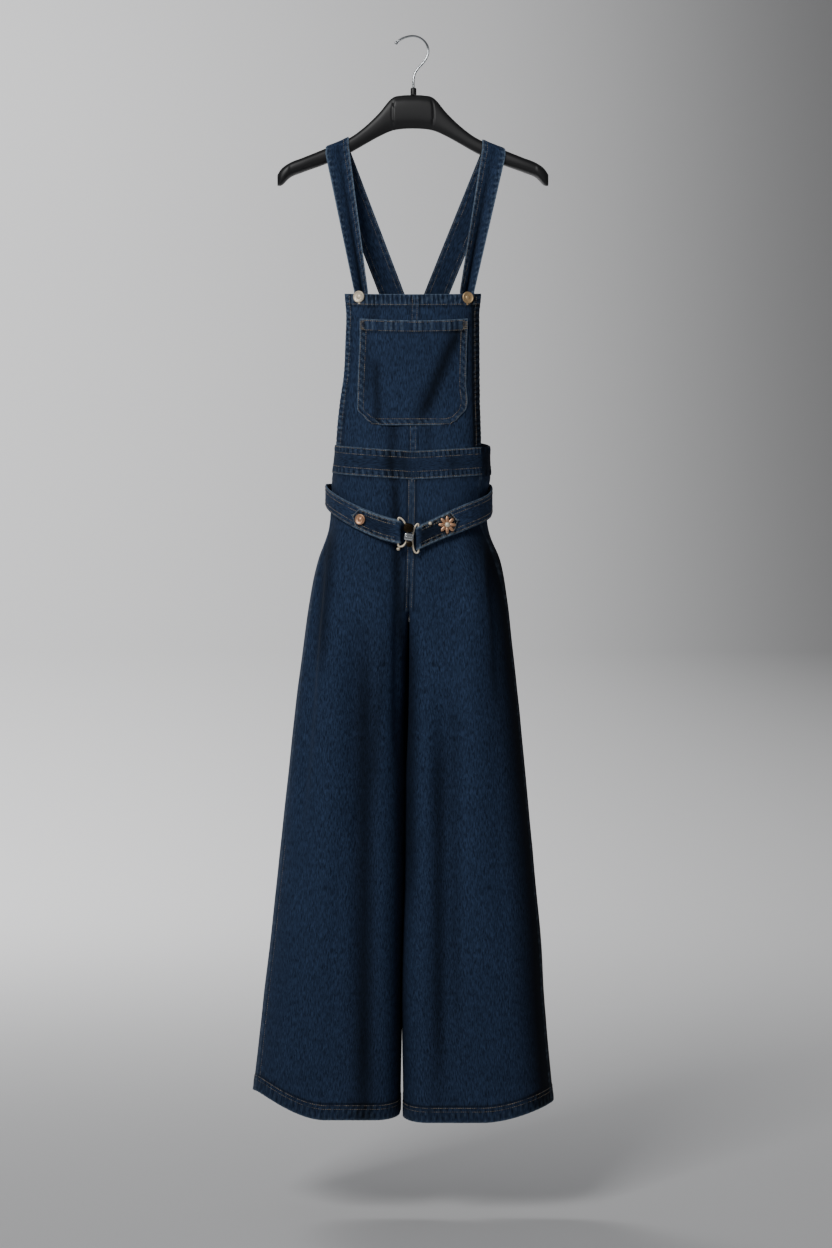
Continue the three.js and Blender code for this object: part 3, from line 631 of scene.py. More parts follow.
def shell(name, outer, inner, material, chart, worn=0.0, painted_shade=0.0):
    """A closed thin shell between two grids (rows, columns, 3): both sides and the four edges."""
    rows, columns = outer.shape[:2]
    count = rows * columns
    grid = np.arange(count).reshape(rows, columns)
    side = np.stack([grid[:-1, :-1], grid[:-1, 1:], grid[1:, 1:], grid[1:, :-1]], -1).reshape(-1, 4)
    border = np.concatenate([grid[0], grid[1:, -1], grid[-1, -2::-1], grid[-2::-1, 0]])
    here, following = border[:-1], border[1:]
    edge = np.stack([following, here, here + count, following + count], -1)
    faces = np.concatenate([side, side[:, ::-1] + count, edge])
    points = np.concatenate([outer.reshape(-1, 3), inner.reshape(-1, 3)])
    cloth = {"map": np.tile(np.stack(np.broadcast_arrays(*chart), -1).reshape(-1, 2), (2, 1))}
    cloth["map"] *= MILLIMETRE
    # The worn share is rubbed wear and the other share is painted shade; the inside layer gets half of each.
    for key, value in (("worn", worn), ("painted_shade", painted_shade)):
        layer = np.broadcast_to(value, (rows, columns)).ravel()
        cloth[key] = np.clip(np.concatenate([layer, layer * 0.5]), 0, 1)
    return put(name, points, outward(points, faces), material, cloth)


def skin(rings, closed=False):
    """Triangles over rings of points (rings, sides, 3), joined end to end or closed at poles."""
    count, sides = rings.shape[:2]
    k = np.arange(count if closed else count - 1)[:, None]
    j = np.arange(sides)[None, :]
    a, b = k * sides + j, k * sides + (j + 1) % sides
    c, d = (k + 1) % count * sides + j, (k + 1) % count * sides + (j + 1) % sides
    faces = [np.stack([a, b, d], -1).reshape(-1, 3), np.stack([a, d, c], -1).reshape(-1, 3)]
    points = rings.reshape(-1, 3)
    if not closed:
        pole, ring = len(points), np.arange(sides)
        after, last = (ring + 1) % sides, (count - 1) * sides
        faces.append(np.stack([after, ring, np.full(sides, pole)], -1))
        faces.append(np.stack([last + ring, last + after, np.full(sides, pole + 1)], -1))
        points = np.concatenate([points, rings[0].mean(0)[None], rings[-1].mean(0)[None]])
    faces = np.concatenate(faces)
    return points, outward(points, faces)


def join(parts):
    """Several (points, faces) as one."""
    starts = np.cumsum([0] + [len(points) for points, faces in parts[:-1]])
    faces = np.concatenate([faces + start for (points, faces), start in zip(parts, starts)])
    return np.concatenate([points for points, faces in parts]), faces


def wire(line, radius, sides=12, closed=False):
    """A round wire: circles square to the line, level with Y, at each of its points."""
    if closed:
        ahead, behind = np.roll(line, -1, 0), np.roll(line, 1, 0)
    else:
        ahead = np.concatenate([line[1:], line[-1:]])
        behind = np.concatenate([line[:1], line[:-1]])
    way = unit(ahead - behind)
    level = unit(np.array([0, 1, 0]) - way * way[:, 1:2])
    other = np.cross(way, level)
    turn = np.linspace(0, 2 * np.pi, sides, endpoint=False)[None, :, None]
    around = level[:, None] * np.cos(turn) + other[:, None] * np.sin(turn)
    radius = np.broadcast_to(radius, len(line))[:, None, None]
    return skin(line[:, None] + radius * around, closed)


def axes(normal):
    """Two directions square to a normal and to each other: one level, one up the normal's face."""
    normal = unit(np.asarray(normal, float))
    level = unit(np.cross([0, 0, 1.0], normal)) if abs(normal[2]) < 0.9 else np.array([1.0, 0, 0])
    return normal, level, np.cross(normal, level)


def turned(profile, at, normal, sides=40):
    """A lathed piece: the profile's (radius, height) rows turned about the normal."""
    normal, level, rise = axes(normal)
    turn = np.linspace(0, 2 * np.pi, sides, endpoint=False)
    around = np.cos(turn)[:, None] * level + np.sin(turn)[:, None] * rise
    rows = np.array(profile, float)
    rings = rows[:, 0][:, None, None] * around + rows[:, 1][:, None, None] * normal + at
    return skin(rings)


def pillow(at, normal, half, square=4.0, lean=0.0, steps=20):
    """A rounded block: a superellipsoid with half sizes (across, up, out), turned by lean.

    x = a cos^(2/n) v cos^(2/n) u, y = b cos^(2/n) v sin^(2/n) u and z = c sin^(2/n) v.
    """
    normal, level, rise = axes(normal)
    across = level * np.cos(lean) + rise * np.sin(lean)
    up = rise * np.cos(lean) - level * np.sin(lean)
    u = np.linspace(0, 2 * np.pi, 2 * steps, endpoint=False)[None, :, None]
    v = np.linspace(-0.49, 0.49, steps)[:, None, None] * np.pi
    bend = 2 / square
    rings = (half[0] * power(np.cos(v), bend) * power(np.cos(u), bend) * across
             + half[1] * power(np.cos(v), bend) * power(np.sin(u), bend) * up
             + half[2] * power(np.sin(v), bend) * np.ones_like(u) * normal + at)
    return skin(rings)


def lengths_along(line):
    """Length along a line of points up to each of them."""
    return np.concatenate([[0], np.cumsum(np.linalg.norm(np.diff(line, axis=0), axis=1))])


def at_lengths(values, length, where):
    """Rows of values read linearly at places along a line."""
    return np.stack([np.interp(where, length, column) for column in values.T], -1)


def stitches(name, rows, material, cloth, faint=()):
    """Rows of topstitches in one mesh, with the faint ones drawn at 0.6 of the width.

    Each row is (points, normals). A stitch is a bead of two tips and two rings of six, drawn
    out along the row, and the stitches come a pitch apart along the row's length.
    """
    stitch, pitch = cloth.stitch / MILLIMETRE, cloth.pitch / MILLIMETRE
    wide = cloth.thread / MILLIMETRE / 2
    turn = np.linspace(0, 2 * np.pi, 6, endpoint=False)
    ring = np.stack([np.zeros(6), np.cos(turn) * wide, np.sin(turn) * wide * 0.8], -1)
    bead = np.concatenate([[[-stitch / 2, 0, 0]], ring - [stitch * 0.3, 0, 0],
                           ring + [stitch * 0.3, 0, 0], [[stitch / 2, 0, 0]]])
    near, far = np.arange(1, 7), np.arange(7, 13)
    pattern = np.concatenate([
        np.stack([np.zeros(6, int), np.roll(near, -1), near], -1),
        np.stack([near, np.roll(near, -1), np.roll(far, -1)], -1),
        np.stack([near, np.roll(far, -1), far], -1),
        np.stack([far, np.roll(far, -1), np.full(6, 13)], -1)])
    beads = []
    for (line, normals), share in [(row, 1.0) for row in rows] + [(row, 0.6) for row in faint]:
        length = lengths_along(line)
        at = np.arange(pitch / 2, length[-1], pitch)
        way = unit(at_lengths(line, length, at + 0.8) - at_lengths(line, length, at - 0.8))
        up = at_lengths(normals, length, at)
        up = unit(up - way * (up * way).sum(1, keepdims=True))
        across = np.cross(up, way)
        section = bead[:, 1:2] * across[:, None] + bead[:, 2:] * up[:, None]
        middle = at_lengths(line, length, at)[:, None]
        beads.append(middle + bead[:, :1] * way[:, None] + share * section)
    beads = np.concatenate(beads)
    faces = pattern[None] + 14 * np.arange(len(beads))[:, None, None]
    points = beads.reshape(-1, 3)
    made = put(name, points, outward(points, faces.reshape(-1, 3)), material, sharp=80)
    return declare(made, "denim")


# Materials

def linear(colour):
    """An sRGB hex value as linear red, green, blue and 1."""
    value = np.array([int(colour[k:k + 2], 16) for k in (1, 3, 5)]) / 255
    return (*np.where(value <= 0.04045, value / 12.92, ((value + 0.055) / 1.055) ** 2.4), 1.0)


def feed(tree, made, inputs):
    """Sets each input of a node to a value, or links it to an output."""
    for key, value in inputs.items():
        if isinstance(value, bpy.types.NodeSocket):
            tree.links.new(value, made.inputs[key])
        else:
            made.inputs[key].default_value = value


def node(tree, kind, inputs=None, **settings):
    """Adds a node with its settings and its inputs."""
    made = tree.nodes.new(kind)
    for key, value in settings.items():
        setattr(made, key, value)
    feed(tree, made, inputs or {})
    return made


def blend(tree, share, first, second):
    """A colour between two, by a share: each is red, green and blue, or an output."""
    def full(colour):
        return colour if isinstance(colour, bpy.types.NodeSocket) else (*colour[:3], 1)

    ends = {0: share, 6: full(first), 7: full(second)}
    return node(tree, "ShaderNodeMix", ends, data_type="RGBA").outputs[2]


def new_material(name):
    """An empty material: its node tree and its Principled shader."""
    material = bpy.data.materials.get(name)
    if material:
        return material, None, None
    material = bpy.data.materials.new(name)
    material.use_nodes = True
    tree = material.node_tree
    return material, tree, tree.nodes["Principled BSDF"]


def rinsed_denim():
    """Denim: cotton twill, indigo warp over a pale weft, rinsed and rubbed at its edges.

    The eye gets short streaks along the warp from slubby yarn, paler rubbed ridges and edges,
    folds and troughs darkened by painted shade, and almost no gloss. A warp yarn is about 0.6 mm
    wide, and the streaks of neighbouring yarns run together to about 1.2 mm wide and 8 mm long.
    """
    material, tree, shader = new_material("Rinsed indigo denim, woven twill")
    if tree is None:
        return material
    cloth = bpy.context.scene.dungarees_cloth
    chart = node(tree, "ShaderNodeUVMap", uv_map="cloth").outputs[0]
    stretch = node(tree, "ShaderNodeMapping", {0: chart, 3: (1 / 0.0012, 1 / 0.008, 1)})
    streak = node(tree, "ShaderNodeTexNoise", {"Vector": stretch.outputs[0], "Scale": 1.0,
                                               "Detail": 1.0, "Roughness": 0.5,
                                               "Distortion": 0.8})
    lift = node(tree, "ShaderNodeMapRange", {0: streak.outputs[0], 1: 0.32, 2: 0.68})
    cloud = node(tree, "ShaderNodeTexNoise", {"Vector": chart, "Scale": 1 / 0.06, "Detail": 3.0})
    shift = node(tree, "ShaderNodeMapRange", {0: cloud.outputs[0], 1: 0.3, 2: 0.7, 3: 0.0, 4: 0.3})
    low = [channel * 0.55 for channel in cloth.indigo]
    high = [min(channel * 2.25 + 0.003, 1) for channel in cloth.indigo]
    warp = blend(tree, lift.outputs[0], low, high)
    faded = blend(tree, shift.outputs[0], warp, cloth.indigo)
    # Painted shade: the cloth is darkened towards the painted shade colour by the shade share each piece carries.
    painted_shade = node(tree, "ShaderNodeAttribute", attribute_name="painted_shade")
    dark = blend(tree, painted_shade.outputs["Fac"], faded, cloth.painted_shade)
    worn = node(tree, "ShaderNodeAttribute", attribute_name="worn")
    broken = node(tree, "ShaderNodeTexNoise", {"Vector": chart, "Scale": 1 / 0.004, "Detail": 2.0})
    patch = node(tree, "ShaderNodeMapRange", {0: broken.outputs[0], 1: 0.3, 2: 0.62, 3: 0.25,
                                              4: 1.0})
    rub = node(tree, "ShaderNodeMath", {0: worn.outputs["Fac"], 1: patch.outputs[0]},
               operation="MULTIPLY", use_clamp=True)
    relief = node(tree, "ShaderNodeBump", {"Height": streak.outputs[0], "Strength": 0.25,
                                           "Distance": 0.0003})
    feed(tree, shader, {"Base Color": blend(tree, rub.outputs[0], dark, cloth.worn),
                        "Normal": relief.outputs[0], "Roughness": 0.86,
                        "Specular IOR Level": 0.12, "Sheen Weight": 0.03,
                        "Sheen Roughness": 0.5, "Sheen Tint": linear("#8fa3c4")})
    return material


def topstitch_thread():
    """Topstitching thread: cotton-wrapped polyester, spun, tan and paler where it is rubbed."""
    material, tree, shader = new_material("Tan topstitching thread, spun")
    if tree is None:
        return material
    place = node(tree, "ShaderNodeTexCoord").outputs["Object"]
    rubbed = node(tree, "ShaderNodeTexNoise", {"Vector": place, "Scale": 1 / 0.007, "Detail": 2.0})
    share = node(tree, "ShaderNodeMapRange", {0: rubbed.outputs[0], 1: 0.36, 2: 0.62})
    colour = blend(tree, share.outputs[0], linear("#33333a"), linear("#a69984"))
    feed(tree, shader, {"Base Color": colour, "Roughness": 0.7})
    return material


def cast_metal(name, colour, roughness, metallic=1.0):
    """A plated or polished metal of one colour, which mirrors the studio softly."""
    material, tree, shader = new_material(name)
    if tree is None:
        return material
    feed(tree, shader, {"Base Color": linear(colour), "Metallic": metallic,
                        "Roughness": roughness})
    return material


def pale_gold():
    """Zinc with a pale gold plate, polished: a light warm mirror."""
    return cast_metal("Pale gold plate on zinc, satin", "#f3e6cf", 0.5, 0.6)


def copper_brass():
    """Brass with a coppery lacquer, brushed by wear: warm and a little dull."""
    return cast_metal("Coppery brass, lacquered", "#dcae8c", 0.46)


def plain_brass():
    """Brass, tumbled and lacquered: a yellowish, softly dull metal."""
    return cast_metal("Brass, tumbled and lacquered", "#d9b98c", 0.5, 0.8)


def antique_brass():
    """Brass darkened in a bath: brown and low in shine."""
    return cast_metal("Antique brass, darkened", "#352c21", 0.36)


def nickel():
    """Zinc with a nickel plate, polished: a bright grey mirror."""
    return cast_metal("Nickel plate on zinc, polished", "#dfe2e4", 0.22)


def chromed_wire():
    """Steel wire, drawn and chromed: bright with dark reflections."""
    return cast_metal("Chromed steel wire, drawn", "#c9cdd0", 0.16)


def black_plastic():
    """Polypropylene, moulded with a fine grain: black with soft grey lights along its edges."""
    material, tree, shader = new_material("Black polypropylene, moulded")
    if tree is None:
        return material
    place = node(tree, "ShaderNodeTexCoord").outputs["Object"]
    grain = node(tree, "ShaderNodeTexNoise", {"Vector": place, "Scale": 1 / 0.0012, "Detail": 1.0})
    relief = node(tree, "ShaderNodeBump", {"Height": grain.outputs[0], "Strength": 0.15,
                                           "Distance": 0.0002})
    feed(tree, shader, {"Base Color": linear("#161618"), "Normal": relief.outputs[0],
                        "Roughness": 0.45, "IOR": 1.49})
    return material


def background_paper(studio):
    """Grey paper, matte, with painted light: the wall is painted darker to the right as painted shade, over a floor
    painted paler.
    """
    material, tree, shader = new_material("Grey background paper, matte")
    place = node(tree, "ShaderNodeTexCoord").outputs["Object"]
    part = node(tree, "ShaderNodeSeparateXYZ", {0: place})
    right = node(tree, "ShaderNodeMapRange", {0: part.outputs[0], 1: 0.15, 2: 1.95},
                 interpolation_type="SMOOTHSTEP")
    wall = node(tree, "ShaderNodeMapRange", {0: part.outputs[2], 1: FLOOR, 2: FLOOR + 0.8})
    share = node(tree, "ShaderNodeMath", {0: right.outputs[0], 1: wall.outputs[0]},
                 operation="MULTIPLY")
    # Painted shade on the wall towards the right, and painted light on the floor
    shaded = [channel * 0.5 for channel in studio.backdrop]
    pale = [channel * 1.45 for channel in studio.backdrop]
    upright = blend(tree, share.outputs[0], studio.backdrop, shaded)
    feed(tree, shader, {"Base Color": blend(tree, wall.outputs[0], pale, upright),
                        "Roughness": 0.95})
    return material


# Body

def body_outline(side, face, z):
    """A quarter of the body's outline at heights z (N), as two stretches (N, K, 2).

    The plain one is x = middle + (outer - middle) cos^(2/n) t, y = depth sin^(2/n) t, and then
    the start of a quarter ellipse that sinks in, and the edge is the rest of that ellipse.
    Between the legs both edges bow the same way, so that no light shows through.
    """
    z = z[:, None]
    outer = read(BODY, HALF_RIGHT if side < 0 else HALF_LEFT, z)
    depth = read(BODY, DEPTH, z)
    apart = mix(0.2, 2.6, smooth(-z, 1480, 1640))
    inner = side * read(BODY, SPLIT, z) + apart
    middle = mix(inner, outer, read(BODY, FLAT, z))
    settle = smooth(-z, 640, 900)
    behind = mix(1, 7, settle) if side < 0 else mix(15, 3, settle)
    seam = np.arccos((1 - behind / (outer - middle)) ** (ROUND / 2))
    sink = read(BODY, SINK, z)
    wide = np.minimum(SINK_WIDE, middle - inner)

    def sunk(s):
        turn = s * np.pi / 2
        return np.stack([side * (inner + wide * (1 - np.sin(turn))),
                         face * (depth - sink * (1 - np.cos(turn)))], -1)

    t = mix(-face * seam, np.pi / 2, np.linspace(0, 1, 41)[None])
    plain = np.stack([side * (middle + (outer - middle) * power(np.cos(t), 2 / ROUND)),
                      face * depth * power(np.sin(t), 2 / ROUND)], -1)
    shares = np.linspace(0, 1, 9)[None]
    plain = np.concatenate([plain, sunk(shares / 2)], 1)
    end = mix(depth - sink, 0.2, smooth(-z, -CROTCH, -CROTCH + CROTCH_LENGTH))
    bow = LEG_BOW * smooth(-z, -CROTCH, -CROTCH + CROTCH_LENGTH)
    last = np.stack([side * inner + bow, face * np.minimum(end, depth - sink)], -1)
    return plain, np.concatenate([sunk((1 + shares) / 2), last], 1)


def along(lines, share, start=0.0):
    """Places (N, 2) at shares (N) of the length of lines (N, K, 2), by linear steps."""
    step = np.linalg.norm(np.diff(lines, axis=1), axis=2)
    length = np.concatenate([np.zeros((len(step), 1)), np.cumsum(step, 1)], 1)
    at = mix(start, length[:, -1], np.clip(share, 0, 1))
    k = np.clip((length < at[:, None]).sum(1), 1, lines.shape[1] - 1)
    row = np.arange(len(at))
    low, high = length[row, k - 1], length[row, k]
    t = np.clip((at - low) / np.maximum(high - low, 1e-9), 0, 1)
    return mix(lines[row, k - 1], lines[row, k], t[:, None])


def body(side, face, u, z, out=0.0):
    """Points on the body at shares u from the side seam to the middle, moved out level.

    The folds lift the cloth along its level normal, and fade at the side seam and the middle.
    """
    u, z, out = np.broadcast_arrays(u, z, out)
    shape = u.shape
    u, z, out = u.ravel(), z.ravel().astype(float), out.ravel()
    plain, edge = body_outline(side, face, z)

    def place(share):
        first = along(plain, share / PLAIN_SHARE, GAP / 2)
        second = along(edge, (share - PLAIN_SHARE) / (1 - PLAIN_SHARE))
        return np.where((share < PLAIN_SHARE)[:, None], first, second)

    at = place(u)
    way = unit(place(np.minimum(u + 0.02, 1)) - place(np.maximum(u - 0.02, 0)))
    folds = (FRONT_FOLDS + FRONT_CREASES) if face < 0 else (BACK_FOLDS + BACK_CREASES)
    fade = smooth(u, 0, 0.05) * (1 - smooth(u, 0.9, 1))
    lift = -side * face * (fade * fold_depth(folds, at[:, 0], z) + out)
    x = at[:, 0] - way[:, 1] * lift
    y = at[:, 1] + way[:, 0] * lift
    return np.stack([x, y, z], -1).reshape(*shape, 3)


def body_row(side, face, u, z, out):
    """A row for stitches on the body: its points and its normals."""
    points = body(side, face, u, z, out)
    return points, unit(body(side, face, u, z, np.asarray(out) + 1.0) - points)


def waist_top(side, face, u):
    """Height of the waistband's top edge: a sine dip in front, a smooth rise behind."""
    seam = WAIST_RIGHT if side < 0 else WAIST_LEFT
    dip = WAIST_DIP if side < 0 else WAIST_DIP - (WAIST_RIGHT - WAIST_LEFT)
    if face < 0:
        return seam - dip * np.sin(u * np.pi / 2)
    return mix(seam, WAIST_BACK, smooth(u, 0, 0.7))


def hem_foot(side, u):
    """Height of the hem's bottom edge, which rises towards the side seam."""
    rise = HEM_RISE_RIGHT if side < 0 else HEM_RISE_LEFT
    return (HEM_RIGHT if side < 0 else HEM_LEFT) + rise * (1 - smooth(u, 0, 0.42))


def share_at(side, face, x, z=None):
    """Shares of the waist's top edge, or of the outline at heights z, that lie at x, by halving."""
    x = np.asarray(x, float)
    low = np.full(x.shape, 0.0 if face < 0 else 0.3)
    high = np.ones(x.shape)
    for _ in range(20):
        u = (low + high) / 2
        height = waist_top(side, face, u) + GAP if z is None else z
        short = side * body(side, face, u, height)[..., 0] > side * x
        low = np.where(short, u, low)
        high = np.where(short, high, u)
    return low


def panel_width(z):
    """Width of a leg panel's cloth at heights z, read from a short table."""
    return read(((-1650, 330), (-900, 215), (-600, 150)), 1, z)


def leg(name, side, face, cloth):
    """One leg panel: a grid of shares and heights, raised at its fells and turned hem."""
    u = np.concatenate([np.linspace(0, 0.08, 10), np.linspace(0.08, 1, 110)[1:]])[None, :]
    s = np.concatenate([np.linspace(0, 0.965, 205), np.linspace(0.965, 1, 16)[1:]])[:, None]
    top = waist_top(side, face, u) - WAISTBAND - GAP
    foot = hem_foot(side, u)
    z = mix(top, foot, s)
    above = z - foot
    wide = panel_width(z)
    across = (u - 0.5) * wide
    from_middle = side * (body(side, face, u, z)[..., 0] - read(BODY, SPLIT, z))
    in_hem = 1 - smooth(above, HEM - 1, HEM + 0.6)
    side_fell = (1 - smooth(u * wide, 8, 10)) * (face * side < 0)
    middle_fell = (1 - smooth(from_middle, FELL / 2, FELL / 2 + 1)) * (z > CROTCH)
    ripple = cloth.pucker / MILLIMETRE
    twist = uneven(across / 1.5 - above / 7, 4 + side) * in_hem * (1 - smooth(above, 15, 24) * 0.5)
    pull = uneven(z / 1.9, 2 + side) * (side_fell + middle_fell)
    sway = uneven(across / 26 + z / 90, side + 3 * face) * uneven(z / 60, 2.0) * 0.5
    out = 0.5 * in_hem + 0.5 * side_fell + 0.6 * middle_fell + ripple * (twist + 0.6 * pull) + sway
    outer = body(side, face, u, z, out)
    inner = body(side, face, u, z, np.where(above < HEM, 0.5 - TURNED, -DENIM) + sway)
    # Painted shade: dark bands along the shades table, the wearer's left side turned from the light, and a darkening
    # towards the foot
    shade = fold_depth(FRONT_SHADES if face < 0 else BACK_SHADES, outer[..., 0], z)
    turned_away = (1 - smooth(u * wide, 14, 84)) * (side > 0) * smooth(-z, 720, 800)
    low = 0.14 * smooth(-z, 1250, 1600)
    rubbed = (0.4 * (1 - smooth(above, 0, 3.0)) + 0.14 * crest(twist)
              + 0.25 * crest(pull) + 0.05 * side_fell + 0.05 * middle_fell)
    # Painted shade in the groove above the hem, beside the middle fell, under the waistband, in the hem's troughs and
    # a little on the whole hem
    groove = 0.6 * bell(above - HEM - 1, 1.6)
    beside = 0.5 * bell(from_middle - FELL / 2 - 2, 1.6) * (z > CROTCH)
    painted_shade = (groove + beside + shade + turned_away + low + 0.4 * (1 - smooth(top - z, 0, 8))
            + 0.15 * in_hem + 0.4 * crest(-twist))
    piece = shell(name, outer, inner, rinsed_denim(), (across, z), rubbed, painted_shade)
    return declare(piece, "denim", name)


class DUNGAREES_OT_legs(bpy.types.Operator):
    """Build the four leg panels with their folds, turned hems and fells."""

    bl_idname = "dungarees.legs"
    bl_label = "Legs"

    def execute(self, context):
        """Makes each panel, then the stitching of the hems, side seams and middle seams."""
        cloth = context.scene.dungarees_cloth
        panels = {}
        for name, side, face in (("front_right", -1, -1), ("front_left", 1, -1),
                                 ("back_right", -1, 1), ("back_left", 1, 1)):
            panels[name] = leg(name, side, face, cloth)
        u = np.linspace(0.004, 0.996, 160)
        rows, faint = [], []
        for side in (-1, 1):
            for face in (-1, 1):
                rows.append(body_row(side, face, u, hem_foot(side, u) + HEM - HEM_ROWS[0], 0.7))
                faint.append(body_row(side, face, u, hem_foot(side, u) + HEM - HEM_ROWS[1], 0.7))
            z = np.linspace(SIDE_ROW_TOP, hem_foot(side, np.array(0.03)) + HEM, 180)
            faint.append(body_row(side, side, 7.5 / panel_width(z), z, 0.7))
        for face in (-1, 1):
            z = np.linspace(waist_top(1, face, np.array(1.0)) - WAISTBAND - 1, CROTCH + 6, 90)
            for side in (-1, 1):
                x = read(BODY, SPLIT, z) + side * (FELL / 2 - 0.4)
                row = body_row(side, face, share_at(side, face, x, z), z, 0.9)
                (rows if side < 0 else faint).append(row)
        sewn = stitches("leg_stitching", rows, topstitch_thread(), cloth, faint)
        for name, panel in panels.items():
            band = "waistband_front" if name.startswith("front") else "waistband_back"
            hang(name, panel, [band], [sewn] if name == "front_right" else [])
        return {"FINISHED"}


def hang(name, piece, rests_on, with_pieces=()):
    """Declares a piece as hung cloth, cut as the table of cuts says."""
    wide, length, area = CUTS[name]
    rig.sheet(piece, flat=(wide, length), held="hung", rests_on=rests_on, area=area,
             with_pieces=with_pieces)


class DUNGAREES_OT_waistband(bpy.types.Operator):
    """Build the two halves of the waistband, rippled along their stitched edges."""

    bl_idname = "dungarees.waistband"
    bl_label = "Waistband"

    def execute(self, context):
        """Each half runs from side seam to side seam, and has a double row at both edges."""
        cloth = context.scene.dungarees_cloth
        a = np.linspace(-1, 1, 321)
        bands, rows = {}, []
        for name, face in (("waistband_front", -1), ("waistband_back", 1)):
            s = np.linspace(1, 0, 19)[:, None]
            edge = np.minimum(s, 1 - s) * WAISTBAND
            grids = []
            for part in (a[a < 0], a[a >= 0]):
                side = -1 if part[0] < 0 else 1
                u = 1 - np.abs(part)[None, :]
                z = waist_top(side, face, u) - WAISTBAND * (1 - s)
                turn = uneven(part[None, :] * 150 / 1.25 + s * 4, 1.0 + face)
                near = bell(edge - 5, 5.5)
                wave = cloth.pucker / MILLIMETRE * 1.5 * turn * near
                bulge = 0.5 * np.sin(np.pi * s) * uneven(part[None, :] * 9, 3.0 + face)
                outer = body(side, face, u, z, 1.0 + wave + bulge)
                grids.append((outer, body(side, face, u, z, 0.6 - TURNED + bulge), turn * near, z))
                for down in BAND_ROWS:
                    start = share_at(side, -1, float(SIDE_TURN)) if side > 0 and face < 0 else 0.004
                    line = np.linspace(start if side < 0 or face < 0 else 0.14, 0.996, 90)
                    height = waist_top(side, face, line) - down
                    rows.append(body_row(side, face, line, height, 1.25))
            outer, inner, wave, z = (np.concatenate(part, 1) for part in zip(*grids))
            # Painted shade: past the side turn the band goes round behind, out of the light, and is painted dark
            # without rubbed wear; the troughs of the ripples and the band's shades are painted shade too, and the
            # band's middle is a little darker.
            beyond = smooth(outer[..., 0], SIDE_TURN, SIDE_TURN + 4)
            band = np.sin(np.pi * s) ** 2 * 0.25
            worn = (0.32 * crest(wave) + 0.6 * (edge < 1.0)) * (1 - beyond)
            painted_shade = (crest(-wave) * 0.8 + 0.6 * beyond + band
                    + fold_depth(BAND_SHADES, outer[..., 0], z))
            piece = shell(name, outer, inner, rinsed_denim(), (z, a[None, :] * 180), worn, painted_shade)
            declare(piece, "denim", name)
            bands[name] = piece
        sewn = stitches("waistband_stitching", rows, topstitch_thread(), cloth)
        hang("waistband_front", bands["waistband_front"], ["bib_right", "bib_left"], [sewn])
        hang("waistband_back", bands["waistband_back"], ["strap_right", "strap_left"])
        return {"FINISHED"}


# Bib and pocket

def bib_depth(x, z):
    """Depth of the bib's outside: the waist's superellipse below, a shallow parabola above."""
    depth = read(BODY, DEPTH, -640)
    outer = read(BODY, HALF_RIGHT, -640)
    middle = outer * read(BODY, FLAT, -640)
    over = np.clip((np.abs(x) - middle) / (outer - middle), 0, 1)
    low = -depth * (1 - over ** ROUND) ** (1 / ROUND)
    high = BIB_LEAN + BIB_CURL * (x / BIB_HALF) ** 2
    return mix(low, high, np.clip((z + 640) / (BIB_TOP + 640), 0, 1.1))


def bib_point(x, z, out):
    """Points on the bib, moved out along the level normal."""
    x, z, out = np.broadcast_arrays(x, z, out)
    slope = (bib_depth(x + 1, z) - bib_depth(x - 1, z)) / 2
    length = np.hypot(slope, 1)
    return np.stack([x + out * slope / length, bib_depth(x, z) - out / length, z], -1)


def bib_row(x, z, out):
    """A row for stitches on the bib: its points and its normals."""
    points = bib_point(x, z, out)
    return points, unit(bib_point(x, z, out + 1.0) - points)


def bib_top(x):
    """Height of the bib's top edge, which sags in the middle on a parabola."""
    return BIB_TOP - 4.5 * (1 - (x / BIB_HALF) ** 2)


def bib_place(side, rise, below, reach):
    """x and z of the bib's cloth, a share of the way up and a distance in from its edge."""
    edge = EDGE_RIGHT if side < 0 else EDGE_LEFT
    start = read(BIB, edge, -630)
    wide = abs(read(BIB, SEAM, -630) + side * GAP / 2 - start)
    low = waist_top(side, -1, share_at(side, -1, start - side * reach)) + GAP
    guess = mix(low, BIB_TOP - below, rise)
    seam = read(BIB, SEAM, guess) + side * GAP / 2
    x = mix(read(BIB, edge, guess), seam, reach / wide)
    return x, mix(low, bib_top(x) - below, rise)


